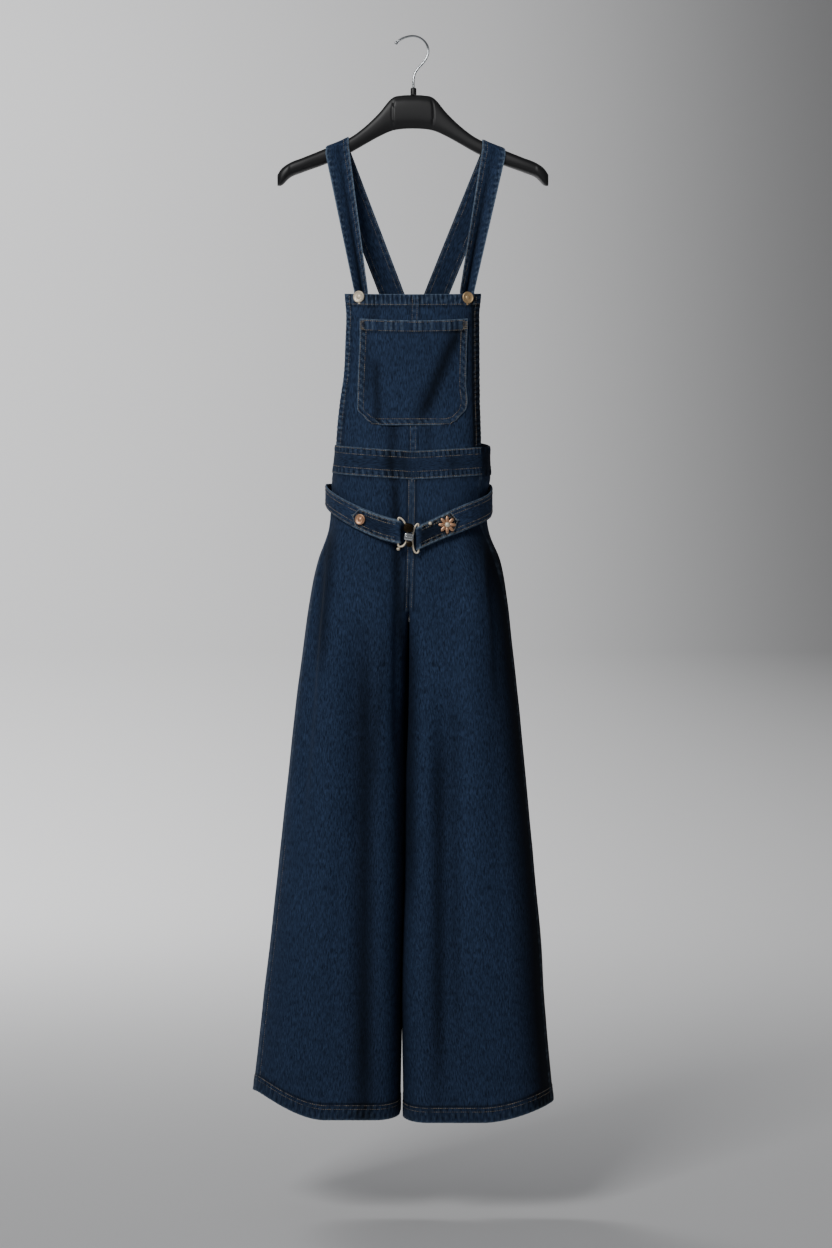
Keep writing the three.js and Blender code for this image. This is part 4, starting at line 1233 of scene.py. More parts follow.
def bib_half(name, side, cloth):
    """Half of the bib: a grid from its edge to the middle seam and from the waist up.

    Both halves lean the same way through the thickness at the seam, so no light shows through.
    """
    edge = EDGE_RIGHT if side < 0 else EDGE_LEFT
    wide = abs(read(BIB, SEAM, -630) + side * GAP / 2 - read(BIB, edge, -630))
    reach = np.concatenate([np.linspace(0, BIB_HEM, 8), np.linspace(BIB_HEM, wide, 54)[1:]])[None]
    rise = np.concatenate([np.linspace(0, 1, 100), np.ones(12)])[:, None]
    below = np.concatenate([np.full(100, BIB_TOP_HEM), np.linspace(BIB_TOP_HEM, 0, 13)[1:]])[:, None]
    x, z = bib_place(side, rise, below, reach)
    inside = np.abs(x - read(BIB, SEAM, z))
    past = 0.5 if side < 0 else -0.5
    side_hem = 1 - smooth(reach, BIB_HEM - 1, BIB_HEM + 0.4) + 0 * z
    top_hem = 1 - smooth(bib_top(x) - z, BIB_TOP_HEM - 1, BIB_TOP_HEM + 0.5)
    fell = 1 - smooth(inside + past, FELL / 2, FELL / 2 + 1)
    rope = uneven(z / 1.3 + reach / 3, 1 + side) * side_hem
    cord = uneven(x / 1.15 + z / 12, 3 + side) * top_hem * (1 - side_hem)
    pull = uneven(z / 1.6, 5.0) * fell
    raised = 0.5 * np.maximum(np.maximum(side_hem, top_hem), fell)
    ripple = cloth.pucker / MILLIMETRE * (rope + cord + pull)
    sway = fold_depth(BIB_FOLDS, x, z) + 0.5 * uneven(x / 24 + z / 70, 2.0) * uneven(z / 55, 1.0)
    sway = sway * smooth(z, -660, -590)
    outer = bib_point(x, z, raised + ripple + sway)
    lap = SEAM_LAP * (1 - smooth(inside, 0, 6))
    under = np.where((side_hem > 0.5) | (top_hem > 0.5), TURNED, DENIM)
    inner = bib_point(x + lap, z, sway - under)
    worn = (0.55 * crest(rope) + 0.5 * crest(cord) + 0.25 * crest(pull)
            + 0.5 * (reach < 0.8) + 0.7 * (bib_top(x) - z < 1.2))
    # The rubbed edges fade out on the edge at +X, which is painted as in shade.
    worn = worn * (1 - 0.8 * smooth(x, 92, 98))
    # Painted shade: the bib's shades, the troughs of the ripples, and the grooves beside the middle fell and the hems.
    painted_shade = (0.6 * crest(-rope) + 0.75 * crest(-cord) + fold_depth(BIB_SHADES, x, z)
            + 0.5 * bell(inside + past - FELL / 2 - 2, 1.4)
            + 0.5 * bell(reach - BIB_HEM - 1, 1.4)
            + 0.5 * bell(bib_top(x) - z - BIB_TOP_HEM - 1, 1.6))
    piece = shell(name, outer, inner, rinsed_denim(), (x, z), worn, painted_shade)
    return declare(piece, "denim", name)


class DUNGAREES_OT_bib(bpy.types.Operator):
    """Build the two halves of the bib, with turned hems and a felled middle seam."""

    bl_idname = "dungarees.bib"
    bl_label = "Bib"

    def execute(self, context):
        """Makes both halves and the rows along the top, the sides and the middle seam."""
        cloth = context.scene.dungarees_cloth
        halves, rows, faint = {}, [], []
        for name, side in (("bib_right", -1), ("bib_left", 1)):
            halves[name] = bib_half(name, side, cloth)
            x, z = bib_place(side, np.linspace(0.01, 1, 120), 3.0, np.array(BIB_HEM - 1.4))
            faint.append(bib_row(x, z, 0.9))
        x = np.linspace(-101, 102, 120)
        rows.append(bib_row(x, bib_top(x) - BIB_TOP_HEM + 1.8, 0.9))
        z = np.linspace(-648, BIB_TOP - 8, 120)
        for reach in (0.8 - FELL / 2, FELL / 2 - 1.4):
            faint.append(bib_row(read(BIB, SEAM, z) + reach, z, 0.62))
        sewn = stitches("bib_stitching", rows, topstitch_thread(), cloth, faint)
        hang("bib_right", halves["bib_right"], ["strap_right"], [sewn])
        hang("bib_left", halves["bib_left"], ["strap_left"])
        return {"FINISHED"}


def pocket_top(x, z):
    """How far the pocket's mouth sags below its corners: a parabola that dies out downwards."""
    share = (x - read(POCKET, 1, z)) / (read(POCKET, 2, z) - read(POCKET, 1, z))
    return POCKET_SAG * (1 - (2 * share - 1) ** 2) * smooth(z, -500, POCKET_MOUTH)


class DUNGAREES_OT_pocket(bpy.types.Operator):
    """Build the patch pocket, with its turned band, cut-off corners and bar tacks."""

    bl_idname = "dungarees.pocket"
    bl_label = "Pocket"

    def execute(self, context):
        """Makes the patch, then two rows round it, two along its band and the bar tacks."""
        cloth = context.scene.dungarees_cloth
        z = np.concatenate([np.linspace(POCKET_MOUTH, -458, 12), np.linspace(-458, -560, 44)[1:],
                            np.linspace(-560, POCKET_FOOT, 28)[1:]])[:, None]
        s = np.concatenate([np.linspace(0, 0.06, 7), np.linspace(0.06, 0.94, 58)[1:-1],
                            np.linspace(0.94, 1, 7)])[None, :]
        x = mix(read(POCKET, 1, z), read(POCKET, 2, z), s)
        sag = z - pocket_top(x, z)
        below = POCKET_MOUTH - z
        band = 1 - smooth(below, POCKET_BAND - 1, POCKET_BAND + 0.5) + 0 * x
        rim = np.minimum(np.minimum(s, 1 - s) * 160, z - POCKET_FOOT)
        ripple = uneven((x + z) / 1.7, 2.0) * bell(rim - 5, 4)
        cord = uneven(x / 1.4, 6.0) * band
        sway = fold_depth(POCKET_FOLDS, x, z) * smooth(rim, 2, 18)
        top = LAID + DENIM + band + cloth.pucker / MILLIMETRE * (ripple + 0.7 * cord)
        outer = bib_point(x, sag, top + np.maximum(sway, -0.7) + 0.5 * smooth(rim, 0, 30))
        inner = bib_point(x, sag, LAID)
        worn = (0.5 * crest(ripple) + 0.4 * crest(cord) + 0.9 * (rim < 1.4)
                + 0.8 * (below < 1.6))
        # Painted shade: the pocket's shades, the troughs of the ripples and the groove under its band.
        painted_shade = (fold_depth(POCKET_SHADES, x, z) + 0.6 * crest(-ripple)
                + 0.6 * crest(-cord)
                + 0.5 * bell(below - POCKET_BAND - 1, 1.5))
        piece = shell("bib_pocket", outer, inner, rinsed_denim(), (x, sag), worn, painted_shade)
        declare(piece, "denim", "bib_pocket")
        hang("bib_pocket", piece, ["bib_right", "bib_left"], [self.sew(cloth)])
        return {"FINISHED"}

    def sew(self, cloth):
        """The rows keep their distance from the edge: down one side, along the foot and up."""
        rows = []
        lift = LAID + DENIM + 0.5
        down = np.linspace(-440, POCKET_FOOT, 64)
        for inset in POCKET_ROWS:
            heights = down[down > POCKET_FOOT + 1 + inset]
            right = np.stack([read(POCKET, 1, heights) + inset, heights])
            left = np.stack([read(POCKET, 2, heights) - inset, heights])[:, ::-1]
            foot = np.stack([np.linspace(right[0, -1] + inset, left[0, 0] - inset, 40),
                             np.full(40, POCKET_FOOT + inset)])
            x, z = np.concatenate([right, foot, left], 1)
            rows.append(bib_row(x, z - pocket_top(x, z), lift))
        x = np.linspace(-77, 80.5, 80)
        for below in (2.6, POCKET_BAND - 1.6):
            z = np.full(80, POCKET_MOUTH - below)
            rows.append(bib_row(x, z - pocket_top(x, z), lift + 1.2))
        for corner in (-75.5, 79):
            for k in range(6):
                z = np.linspace(-441, -453, 12)
                rows.append(bib_row(np.full(12, corner + 1.1 * (k - 2.5)), z, lift + 1.4))
        return stitches("pocket_stitching", rows, topstitch_thread(), cloth)


# Straps

def arm_at(x):
    """Middle height, half height and half thickness of the hanger's arm at x."""
    out = np.abs(x - HANGER_X)
    top, foot = read(HANGER, ARM_TOP, out), read(HANGER, ARM_FOOT, out)
    return (top + foot) / 2, (top - foot) / 2, read(HANGER, ARM_HALF, out)


def on_hanger(x, turn, out):
    """Points round the arm's upright superellipse section, from its front over its top."""
    middle, tall, half = arm_at(x)
    y = -(half + 2 * GAP + out) * power(np.cos(turn), 2 / HANGER_ROUND)
    z = middle + (tall + 2 * GAP + out) * power(np.sin(turn), 2 / HANGER_ROUND)
    return np.stack(np.broadcast_arrays(x, y, z), -1)


def strap_crease(q, s, wide):
    """Depth of the strap's lengthwise fold: what its cloth needs to narrow to that width."""
    half = mix(STRAP_WIDE, wide, s) / 2
    depth = 0.8 * np.sqrt(np.maximum((STRAP_WIDE / 2) ** 2 - half ** 2, 0))
    at = 0.2 * (1 - s)
    side = np.where(q < at, (q + 1) / (at + 1), (1 - q) / (1 - at))
    return depth * np.clip(side, 0, 1) ** 1.15


def strap_grid(strap, q, out):
    """A strap's points (rows, columns, 3): bib, straight run, round the hanger, and back run."""
    name, hanger, bib_x, back, wide, over = strap
    q = q[None, :]
    x_top = hanger + q * (STRAP_WIDE / 2) * 0.93

    def at_bib(z):
        return bib_point(bib_x + q * wide / 2, z, -TURNED - GAP - STRAP)

    def shift(points, y):
        return points + np.stack(np.broadcast_arrays(0.0, y, 0.0), -1)

    flip = -1 if bib_x < 0 else 1
    z = np.linspace(STRAP_END, BIB_TOP + 3, 12)[:, None]
    tail = shift(at_bib(z), strap_crease(-q * flip, 1.0, wide) - out)
    s = np.linspace(0, 1, 92)[1:-1][:, None]
    low, high = at_bib(np.array([[BIB_TOP + 3.0]])), on_hanger(x_top, np.zeros((1, 1)), 0.0)
    run = shift(mix(low, high, s[..., None]), strap_crease(-q * flip, 1 - s, wide) - out)
    round_arm = on_hanger(x_top, np.linspace(0, np.pi, 28)[:, None], out)
    half = np.sign(back)
    u = share_at(half, 1, back + q * (STRAP_WIDE / 2) * 1.06)
    foot = body(half, 1, u, waist_top(half, 1, u) + GAP, -STRAP / 2 - 0.6)
    s = np.linspace(0, 1, 150)[1:][:, None]
    lift = over * smooth(s, 0.3, 0.55) * (1 - smooth(s, 0.88, 1)) + out
    behind = shift(mix(on_hanger(x_top, np.full((1, 1), np.pi), 0.0), foot, s[..., None]), lift)
    return np.concatenate([tail, run, round_arm, behind])


class DUNGAREES_OT_straps(bpy.types.Operator):
    """Build the two straps, creased lengthwise in front and crossed at the back."""

    bl_idname = "dungarees.straps"
    bl_label = "Straps"

    def execute(self, context):
        """Makes each strap and the double rows along both of its edges."""
        cloth = context.scene.dungarees_cloth
        q = np.concatenate([np.linspace(-1, -0.55, 9), np.linspace(-0.55, 0.55, 15)[1:-1],
                            np.linspace(0.55, 1, 9)])
        straps, rows = {}, []
        for k, strap in enumerate(STRAPS):
            inward = -np.sign(strap[1])
            plain = strap_grid(strap, q, 0.0)
            length = np.arange(len(plain))[:, None] * 2.8
            edge = (1 - np.abs(q))[None, :] * STRAP_WIDE / 2
            wave = uneven(length / 1.9 + edge / 4, 2.0 + k) * bell(edge - 5, 4.5)
            rounded = 0.7 * (1 - smooth(edge, 0, 2.5))
            thick = STRAP + 0.9 * cloth.pucker / MILLIMETRE * wave - rounded
            outer = plain + (strap_grid(strap, q, 1.0) - plain) * thick[..., None]
            up = np.clip(np.arange(len(plain)) / STRAP_BACK, 0, 1)[:, None]
            # Painted shade along the lengthwise crease; the troughs of the ripples and the back run behind the hanger
            # are painted darker too.
            crease = (1 - up) ** 0.7 * bell(q[None] - inward * 0.1, 0.2)
            worn = 0.95 * bell(edge, 2.0) + 0.45 * crest(wave)
            painted_shade = 0.55 * crest(-wave) + 1.1 * crease + 0.3 * (up == 1)
            piece = shell(strap[0], outer, plain, rinsed_denim(), (q[None] * 19, length), worn, painted_shade)
            straps[strap[0]] = declare(piece, "denim", strap[0])
            for inset in STRAP_ROWS:
                for way, part in ((inward, slice(8, None)), (-inward, slice(STRAP_BACK, None))):
                    line = np.array([way * (1 - 2 * inset / STRAP_WIDE)])
                    for out in (STRAP + 0.1, -0.1):
                        low = strap_grid(strap, line, out)[part, 0]
                        high = strap_grid(strap, line, out * 1.5)[part, 0]
                        rows.append((low, unit(high - low)))
        sewn = stitches("strap_stitching", [], topstitch_thread(), cloth, rows)
        hang("strap_right", straps["strap_right"], ["hanger_body"], [sewn])
        hang("strap_left", straps["strap_left"], ["hanger_body"])
        return {"FINISHED"}


# Belt

def belt_line(route):
    """A centripetal Catmull-Rom curve through a route: dense points and their lengths along."""
    points = np.array(route, float)
    points = np.concatenate([2 * points[:1] - points[1:2], points, 2 * points[-1:] - points[-2:-1]])
    before, here, after, later = points[:-3], points[1:-2], points[2:-1], points[3:]
    gaps = [np.linalg.norm(b - a, axis=1, keepdims=True) ** 0.5
            for a, b in ((before, here), (here, after), (after, later))]
    start = ((here - before) / gaps[0] - (after - before) / (gaps[0] + gaps[1])
             + (after - here) / gaps[1]) * gaps[1]
    end = ((after - here) / gaps[1] - (later - here) / (gaps[1] + gaps[2])
           + (later - after) / gaps[2]) * gaps[1]
    t = np.linspace(0, 1, 40, endpoint=False)[None, :, None]
    dense = (here[:, None] * (1 + 2 * t) * (1 - t) ** 2 + after[:, None] * t * t * (3 - 2 * t)
             + start[:, None] * t * (1 - t) ** 2 - end[:, None] * t * t * (1 - t))
    dense = np.concatenate([dense.reshape(-1, 3), points[-2:-1]])
    return dense, lengths_along(dense)


BELT_POINTS, BELT_LENGTHS = belt_line(BELT_ROUTE)
BELT_LENGTH = BELT_LENGTHS[-1]


def belt_frame(at):
    """Point, way along, up, out and half height on the belt's middle line at shares of it."""
    at = np.atleast_1d(np.asarray(at, float))

    def place(share):
        return at_lengths(BELT_POINTS, BELT_LENGTHS, np.clip(share, 0, 1) * BELT_LENGTH)

    way = unit(place(at + 0.002) - place(at - 0.002))
    sloped = smooth(np.minimum(at, 1 - at), 0.02, 0.14)[:, None]
    up = unit(np.array([0, 0, 1.0]) - way * way[:, 2:] * sloped)
    out = unit(np.cross(up, way))
    half = BELT_WIDE / 2 * (1 - 0.16 * smooth(at, 0.03, 0.12) * (1 - smooth(at, 0.3, 0.4)))
    return place(at), way, up, out, half


def belt_share(end, reach):
    """Share of the belt's line a distance in from one of its ends."""
    return 1 - reach / BELT_LENGTH if end else reach / BELT_LENGTH


def tab_lift(reach):
    """How far out the turned-back tab's middle lies from the belt's."""
    return mix(2 * FOLD_R, BELT + 0.6, smooth(reach, 2, 20))


def tab_run(end, reach, long):
    """The tab's middle line, up and half height at distances from the fold, with its point."""
    point, way, up, out, half = belt_frame(belt_share(end, reach))
    narrow = mix(1, 0.06, smooth(reach, long - 13, long))
    return point + out * tab_lift(reach)[:, None], up, out, (half - 1.5) * narrow


def belt_run():
    """Middle line, up, half height and out of the whole strip, from one tab's tip to the other."""
    parts = []
    for end, long in ((0, TAB_RIGHT), (1, TAB_LEFT)):
        reach = np.concatenate([np.linspace(0, long - 13, 26), np.linspace(long - 13, long, 14)[1:]])
        tab = tab_run(end, reach, long)
        s = np.linspace(0, 1, 12)[1:-1]
        point, way, up, out, half = belt_frame(np.full(10, float(end)))
        angle = (s if end else 1 - s)[:, None] * np.pi
        bent = (point + out * FOLD_R * (1 - np.cos(angle))
                + way * (1 if end else -1) * FOLD_R * np.sin(angle))
        facing = out * -np.cos(angle) + way * (1 if end else -1) * np.sin(angle)
        turn = (bent, up, facing, half - 1.8)
        if end:
            parts += [turn, tab]
        else:
            parts += [tuple(v[::-1] for v in tab), turn]
    point, way, up, out, half = belt_frame(np.linspace(0, 1, 330))
    parts.insert(2, (point, up, -out, half))
    return [np.concatenate(values) for values in zip(*parts)]


class DUNGAREES_OT_belt(bpy.types.Operator):
    """Build the belt, one strip round the hips with both ends turned back to pointed tabs."""

    bl_idname = "dungarees.belt"
    bl_label = "Belt"

    def execute(self, context):
        """Carries the strip's section along its line, then sews the belt and its tabs."""
        cloth = context.scene.dungarees_cloth
        point, up, face, half = belt_run()
        q = np.concatenate([np.linspace(1, 0.6, 7), np.linspace(0.6, -0.6, 11)[1:-1],
                            np.linspace(-0.6, -1, 7)])
        edge = (1 - np.abs(q))[None, :] * half[:, None]
        length = lengths_along(point)
        wave = uneven(length[:, None] / 1.5 + q[None] * 3, 2.0) * bell(edge - 4, 4)
        thick = BELT / 2 * smooth(edge, -2.2, 2.2) + cloth.pucker / MILLIMETRE * 0.4 * wave
        middle = point[:, None] + up[:, None] * q[None, :, None] * half[:, None, None]
        outer = middle + face[:, None] * thick[..., None]
        inner = middle - face[:, None] * thick[..., None]
        worn = bell(edge, 2.1) + 0.45 * crest(wave)
        # Painted shade: the troughs of the ripples, both turned tabs and, more, the tab at the belt's far end.
        from_end = np.minimum(length, length[-1] - length)[:, None]
        painted_shade = 0.55 * crest(-wave) + 0.4 * (1 - smooth(from_end, TAB_LEFT - 6, TAB_RIGHT))
        painted_shade = painted_shade + 0.35 * smooth(length - length[-1], -TAB_LEFT, 6 - TAB_LEFT)[:, None]
        chart = (q[None] * half[:, None], length[:, None])
        piece = shell("belt_strip", outer, inner, rinsed_denim(), chart, worn, painted_shade)
        declare(piece, "denim", "belt_strip")
        sewn = stitches("belt_stitching", self.rows(), topstitch_thread(), cloth)
        hang("belt_strip", piece, ["belt_loop_right", "belt_loop_left"], [sewn])
        return {"FINISHED"}

    def rows(self):
        """Two rows at each edge all round, and one inside each tab's outline and across it."""
        rows = []
        for inset in BELT_ROWS:
            for way in (-1, 1):
                point, along_belt, up, out, half = belt_frame(np.linspace(0.004, 0.996, 300))
                line = point + up * (way * (half - inset))[:, None] + out * (BELT / 2 + 0.1)
                rows.append((line, out))
        for end, long in ((0, TAB_RIGHT), (1, TAB_LEFT)):
            for inset in TAB_ROWS:
                reach = np.concatenate([np.linspace(5, long - 14, 30),
                                        np.linspace(long - 14, long - inset, 16)[1:]])
                middle, up, out, half = tab_run(end, reach, long)
                rise = np.maximum(half - inset, 0.0)[:, None]
                raised = middle + out * (BELT / 2 + 0.1)
                line = np.concatenate([raised + up * rise, (raised - up * rise)[::-1]])
                rows.append((line, np.concatenate([out, out[::-1]])))
        return rows


class DUNGAREES_OT_loops(bpy.types.Operator):
    """Build the two belt loops at the back."""

    bl_idname = "dungarees.loops"
    bl_label = "Belt loops"

    def execute(self, context):
        """Each loop is a strip whose section is carried on a smooth line over the belt."""
        for name, x in (("belt_loop_right", -LOOP_X), ("belt_loop_left", LOOP_X)):
            side = int(np.sign(x))
            share = share_at(side, 1, np.array(float(x)))
            heights = np.array([z for z, out in LOOP], float)
            laid = body(side, 1, np.full(len(LOOP), share), heights, 1.3)[:, 1]
            depth = np.array([out or y for (z, out), y in zip(LOOP, laid)])
            line = belt_line(np.stack([np.full(len(LOOP), float(x)), depth, heights], -1))[0][::6]
            way = unit(np.gradient(line, axis=0))
            face = unit(np.cross(way, [1.0, 0, 0]))
            q = np.linspace(-1, 1, 9)[None, :, None]
            middle = line[:, None] + np.array([5.0, 0, 0]) * q
            thick = face[:, None] * 0.8 * (1 - 0.4 * q ** 4)
            chart = (q[..., 0] * 5, line[:, 2:3])
            worn = 0.8 * (np.abs(q[..., 0]) > 0.9)
            piece = shell(name, middle + thick, middle - thick, rinsed_denim(), chart, worn)
            declare(piece, "denim", name)
            hang(name, piece, ["waistband_back"])
        return {"FINISHED"}


# Metal pieces

def on_tab(end, reach, rise):
    """A place on the outside of a tab, a distance from its fold and up, and the way out."""
    middle, up, out, half = tab_run(end, np.array([float(reach)]), 200)
    return (middle + out * (BELT / 2 + GAP) + up * rise)[0], out[0]


def ring_outline(wide, radius):
    """A D's wire: a straight bar, quarter circles at its corners and half an ellipse."""
    tall = RING_TALL / 2 - radius
    bar = tall - RING_CORNER
    straight = np.linspace(-bar, bar, 16)[1:-1]
    t = np.linspace(0, np.pi / 2, 8)
    reach = RING_CORNER * (1 - np.cos(t))
    rise = bar + RING_CORNER * np.sin(t)
    half = np.linspace(np.pi / 2, -np.pi / 2, 56)[1:-1]
    bow = RING_CORNER + (wide - 2 * radius - RING_CORNER) * np.cos(half)
    across = np.concatenate([0 * straight, reach, bow, reach[::-1]])
    height = np.concatenate([straight, rise, tall * np.sin(half), -rise[::-1]])
    return across[:, None], height[:, None]


class DUNGAREES_OT_rings(bpy.types.Operator):
    """Build the belt's two D-shaped rings and the clasp that joins them."""

    bl_idname = "dungarees.rings"
    bl_label = "Rings and clasp"

    def execute(self, context):
        """The rings are wires bent to a D, and the clasp is three rounded blocks."""
        metal = context.scene.dungarees_metal
        radius = metal.ring_wire / MILLIMETRE
        for name, end, wide in (("belt_ring_right", 0, RING_RIGHT), ("belt_ring_left", 1, RING_LEFT)):
            point, way, up, out, half = (v[0] for v in belt_frame(float(end)))
            reach, rise = ring_outline(wide, radius)
            line = point + out * FOLD_R + up * rise + way * (1 if end else -1) * reach
            add(name, wire(line, radius, 14, closed=True), pale_gold(), "hook_steel")
        y = belt_frame(1.0)[0][0][1] - FOLD_R - radius - 3 * GAP
        front = np.array([0, -1.0, 0])
        top = join([pillow(np.array([-6, y - 3.0, -760.2]), front, (7.6, 7.0, 3), 3.0, -0.16),
                    pillow(np.array([-6, y - 6.2, -757.2]), front, (6.0, 2.2, 0.9), 2.6, -0.16)])
        add("clasp_top", top, antique_brass(), "button_brass")
        plate = join([pillow(np.array([-5.4, y - 3.5, -773.8]), front, (7.2, 5.4, 3.5), 5.0, -0.16),
                      pillow(np.array([-5.4, y - 7.0, -773.8]), front, (5.2, 1.2, 0.8), 3.0, -0.16)])
        add("clasp_plate", plate, nickel(), "hook_steel")
        tongue = pillow(np.array([-4.6, y - 2.0, -784.6]), front, (4.3, 4.5, 2.0), 3.2)
        add("clasp_tongue", tongue, antique_brass(), "button_brass")
        return {"FINISHED"}


def shank_button(radius, at, normal):
    """A button turned to a rolled rim, a dished face and a low boss, with rivets round it."""
    profile = [(0.05, 0), (2.6, 0), (2.6, 1.2), (radius - 1.4, 1.2), (radius - 0.4, 1.6),
               (radius, 2.4), (radius - 0.1, 3.2), (radius - 0.7, 4.1), (radius - 1.3, 4.3),
               (radius - 2.0, 3.9), (radius * 0.62, 3.3), (radius * 0.4, 3.25),
               (radius * 0.34, 3.8), (radius * 0.2, 4.15), (0.05, 4.2)]
    normal, level, rise = axes(normal)
    parts = [turned(profile, at, normal)]
    for k in range(4):
        turn = np.pi * (k / 2 + 0.25)
        place = at + normal * 3.5 + (level * np.cos(turn) + rise * np.sin(turn)) * radius * 0.52
        parts.append(turned([(0.05, 0), (0.8, 0), (0.75, 0.35), (0.05, 0.6)], place, normal, 8))
    return join(parts)


class DUNGAREES_OT_buttons(bpy.types.Operator):
    """Build the two bib buttons and the belt's button."""

    bl_idname = "dungarees.buttons"
    bl_label = "Buttons"

    def execute(self, context):
        """Seats each button on its cloth, and hangs a small end of wire under the bib's."""
        metal = context.scene.dungarees_metal
        radius = metal.bib_button / MILLIMETRE
        for name, (x, z), finish in (("bib_button_right", BIB_BUTTON_RIGHT, pale_gold()),
                                     ("bib_button_left", BIB_BUTTON_LEFT, plain_brass())):
            at = bib_point(float(x), float(z), LAID + 0.1)
            normal = bib_point(float(x), float(z), 1.0) - bib_point(float(x), float(z), 0.0)
            end = pillow(at + [0, -1.6, -radius - 0.4], [0, -1.0, 0], (1.9, 1.7, 1.0), 2.4, steps=10)
            add(name, join([shank_button(radius, at, normal), end]), finish, "button_brass")
        at, normal = on_tab(0, BELT_BUTTON_FROM, 0)
        made = shank_button(metal.belt_button / MILLIMETRE, at, normal)
        add("belt_button", made, copper_brass(), "button_brass")
        return {"FINISHED"}


class DUNGAREES_OT_flower(bpy.types.Operator):
    """Build the flower on the belt and the two beads beside the rings."""

    bl_idname = "dungarees.flower"
    bl_label = "Flower and beads"

    def execute(self, context):
        """Eight rounded petals round a dome, each petal set out along its own direction."""
        radius = context.scene.dungarees_metal.flower / MILLIMETRE
        at, normal = on_tab(1, FLOWER_FROM, 0)
        normal, level, rise = axes(normal)
        petals = [turned([(0.05, 0), (radius * 0.4, 0), (radius * 0.4, 1.0), (0.05, 1.2)], at, normal)]
        for k in range(PETALS):
            turn = 2 * np.pi * k / PETALS
            way = level * np.cos(turn) + rise * np.sin(turn)
            petals.append(pillow(at + way * radius * 0.62 + normal * 1.3, normal,
                                 (radius * 0.38, radius * 0.2, 1.3), 2.2, turn, 12))
        add("belt_flower", join(petals), copper_brass(), "button_brass")
        dome = [(0.05, 0), (4.2, 0), (4.1, 0.7), (3.6, 1.5), (2.7, 2.2), (1.4, 2.8), (0.05, 3.0)]
        centre = turned(dome, at + normal * (FLOWER_THICK + GAP), normal, 28)
        add("belt_flower_centre", centre, pale_gold(), "button_brass")
        bead = [(0.05, 0), (2.1, 0.4), (2.7, 1.1), (2.9, 1.8), (2.8, 2.8), (2.4, 3.8),
                (1.7, 4.5), (1, 4.8), (0.05, 5)]
        point, way, up, out, half = (v[0] for v in belt_frame(0.0))
        low = turned(bead, point + out * FOLD_R - up * (RING_TALL / 2 + GAP), -up, 20)
        add("belt_bead_right", low, pale_gold(), "button_brass")
        place, out = on_tab(1, BEAD_FROM, BELT_WIDE / 2 - BEAD_DOWN)
        high = turned(bead, place, out, 20)
        add("belt_bead_left", high, pale_gold(), "button_brass")
        return {"FINISHED"}


# Hanger

class DUNGAREES_OT_hanger(bpy.types.Operator):
    """Build the shoulder hanger with its middle panel, collar and wire hook."""

    bl_idname = "dungarees.hanger"
    bl_label = "Hanger"

    def execute(self, context):
        """The arm is lofted through upright superellipse sections along X."""
        ends = np.concatenate([np.linspace(-1, -0.94, 10), np.linspace(-0.94, 0.94, 231)[1:-1],
                               np.linspace(0.94, 1, 10)])
        out = (ends * ARM_REACH)[:, None]
        middle, tall, half = arm_at(HANGER_X + out)
        turn = np.linspace(0, 2 * np.pi, 48, endpoint=False)[None]
        height = power(np.sin(turn), 2 / HANGER_ROUND)
        bow = PANEL_HALF - 4.0 * height ** 2
        inside = 1 - smooth(np.abs(height), 0.6, 0.85)
        raised = PANEL_RAISED * (1 - smooth(np.abs(out), bow - 1.6, bow)) * inside
        lip = 0.8 * bell(np.abs(out) - bow - 1.0, 1.0) * inside
        cap = 0.7 * smooth(np.abs(out), 189, 190.5)
        round_end = np.sqrt(np.clip(1 - smooth(np.abs(out), 204, ARM_REACH) * 0.5, 0, 1))
        y = (half + raised - lip + cap) * power(np.cos(turn), 2 / HANGER_ROUND) * round_end
        z = middle + tall * height
        rings = np.stack(np.broadcast_arrays(HANGER_X + out, y, z), -1)
        add("hanger_body", skin(rings), black_plastic(), "hanger_plastic")
        collar = [(0.05, 0), (4.6, 0), (4.6, 8.6), (4.4, 9.6), (3.6, 10.4), (3.0, COLLAR_TALL),
                  (0.05, COLLAR_TALL)]
        made = turned(collar, np.array([1.5, 0, COLLAR_TOP - COLLAR_TALL]), [0, 0, 1.0], 36)
        add("hanger_collar", made, black_plastic(), "hanger_plastic")
        line, length = belt_line([(x, 0, z) for x, z in HOOK])
        line, length = line[::3], length[::3]
        radius = context.scene.dungarees_metal.hook_wire / MILLIMETRE
        tip = np.sqrt(np.clip(1 - ((length - 2.6) / 2.7) ** 2, 0.0004, 1)) * 2.7
        radii = np.where(length < 4.6, np.maximum(tip, np.where(length > 2.6, radius, 0)), radius)
        made = wire(line, radii, 16)
        add("hook", made, chromed_wire(), "hook_steel")
        return {"FINISHED"}


# Studio

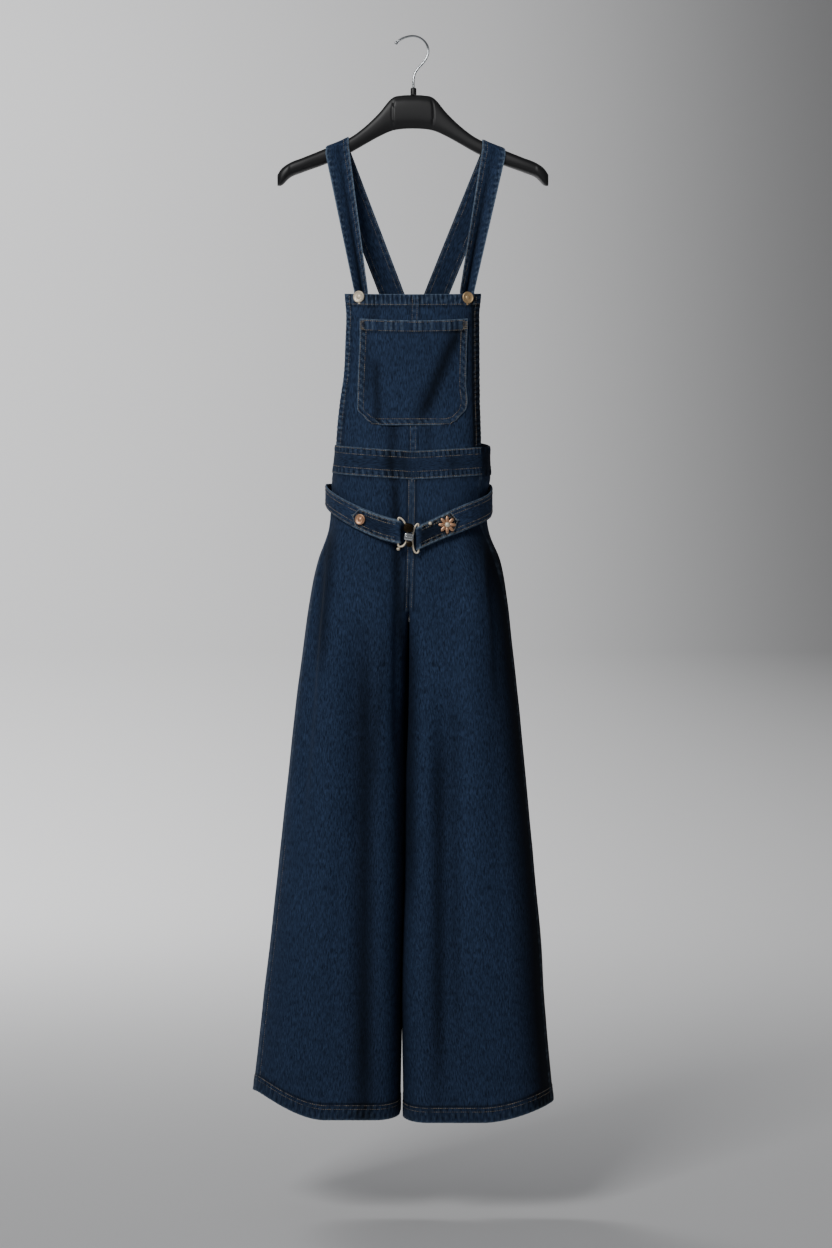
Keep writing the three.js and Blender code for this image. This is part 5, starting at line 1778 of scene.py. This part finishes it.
class DUNGAREES_OT_studio(bpy.types.Operator):
    """Set up the camera, the backdrop sweep and the soft lights."""

    bl_idname = "dungarees.studio"
    bl_label = "Studio"

    def execute(self, context):
        """A level camera in front, a paper sweep from floor to wall, a key and a fill light."""
        studio = context.scene.dungarees_studio
        camera = bpy.data.objects.new("camera", bpy.data.cameras.new("camera"))
        context.scene.collection.objects.link(camera)
        camera.data.lens = studio.lens
        camera.location = STAGE_MIDDLE - Vector((0, studio.distance, 0))
        camera.rotation_euler = (np.pi / 2, 0, 0)
        context.scene.camera = camera
        turn = np.linspace(0, np.pi / 2, 24)
        y = np.concatenate([[-5.5], WALL - SWEEP + SWEEP * np.sin(turn), [WALL]])
        z = np.concatenate([[FLOOR], FLOOR + SWEEP - SWEEP * np.cos(turn), [4.5]])
        x = np.linspace(-7, 7, 2)
        points = np.stack(np.broadcast_arrays(x[None], y[:, None], z[:, None]), -1).reshape(-1, 3)
        grid = np.arange(len(points)).reshape(-1, 2)
        faces = np.stack([grid[:-1, 0], grid[:-1, 1], grid[1:, 1], grid[1:, 0]], -1)
        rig.stage(put("backdrop", points / MILLIMETRE, faces, background_paper(studio)))
        for name, place, size, energy in (("key_light", (-1.6, -3.3, 1.5), 1.4, studio.key),
                                          ("fill_light", (2.4, -3.4, 0.4), 2.0, studio.fill),
                                          ("wall_light", (-2.6, 3.4, 2.0), 2.2, studio.wall)):
            light = bpy.data.objects.new(name, bpy.data.lights.new(name, "AREA"))
            light.data.size = size
            light.data.energy = energy
            light.location = place
            light.visible_camera = False
            aim = Vector((-1.5, WALL, -2.0)) if name == "wall_light" else STAGE_MIDDLE
            light.rotation_euler = (aim - light.location).to_track_quat("-Z", "Y").to_euler()
            context.scene.collection.objects.link(light)
        world = bpy.data.worlds.new("studio air")
        world.use_nodes = True
        world.node_tree.nodes["Background"].inputs[0].default_value = (0.5, 0.51, 0.53, 1)
        world.node_tree.nodes["Background"].inputs[1].default_value = 0.25
        context.scene.world = world
        return {"FINISHED"}


class DUNGAREES_PT_panel(bpy.types.Panel):
    """Lists the sizes, the colours and the pieces to build."""

    bl_idname = "DUNGAREES_PT_panel"
    bl_label = "Dungarees"
    bl_space_type = "VIEW_3D"
    bl_region_type = "UI"
    bl_category = "Dungarees"

    def draw(self, context):
        """Every property of the three groups, then a button for each piece."""
        for group in (context.scene.dungarees_cloth, context.scene.dungarees_metal,
                      context.scene.dungarees_studio):
            for key in group.bl_rna.properties.keys()[2:]:
                self.layout.prop(group, key)
        for operator in PIECES:
            self.layout.operator(operator.bl_idname)


PIECES = (
    DUNGAREES_OT_studio, DUNGAREES_OT_legs, DUNGAREES_OT_waistband, DUNGAREES_OT_bib,
    DUNGAREES_OT_pocket, DUNGAREES_OT_straps, DUNGAREES_OT_belt, DUNGAREES_OT_loops,
    DUNGAREES_OT_rings, DUNGAREES_OT_buttons, DUNGAREES_OT_flower, DUNGAREES_OT_hanger,
)
GROUPS = (DungareesCloth, DungareesMetal, DungareesStudio)


def register():
    """Registers the groups, operators and panel, and puts the groups on the scene."""
    for item in (*GROUPS, *PIECES, DUNGAREES_PT_panel):
        bpy.utils.register_class(item)
    bpy.types.Scene.dungarees_cloth = PointerProperty(type=DungareesCloth)
    bpy.types.Scene.dungarees_metal = PointerProperty(type=DungareesMetal)
    bpy.types.Scene.dungarees_studio = PointerProperty(type=DungareesStudio)


def unregister():
    """Takes away what register added."""
    for key in ("dungarees_cloth", "dungarees_metal", "dungarees_studio"):
        delattr(bpy.types.Scene, key)
    for item in reversed((*GROUPS, *PIECES, DUNGAREES_PT_panel)):
        bpy.utils.unregister_class(item)


def main():
    """Builds everything in order and writes the two boxes."""
    register()
    bpy.ops.dungarees.studio()
    bpy.ops.dungarees.legs()
    bpy.ops.dungarees.waistband()
    bpy.ops.dungarees.bib()
    bpy.ops.dungarees.pocket()
    bpy.ops.dungarees.straps()
    bpy.ops.dungarees.belt()
    bpy.ops.dungarees.loops()
    bpy.ops.dungarees.rings()
    bpy.ops.dungarees.buttons()
    bpy.ops.dungarees.flower()
    bpy.ops.dungarees.hanger()
    boxes = {"cad": [list(corner) for corner in CAD_BOX],
             "visual": [list(corner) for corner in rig.bounds()]}
    with open("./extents.json", "w") as file:
        json.dump(boxes, file)


if __name__ == "__main__":
    main()
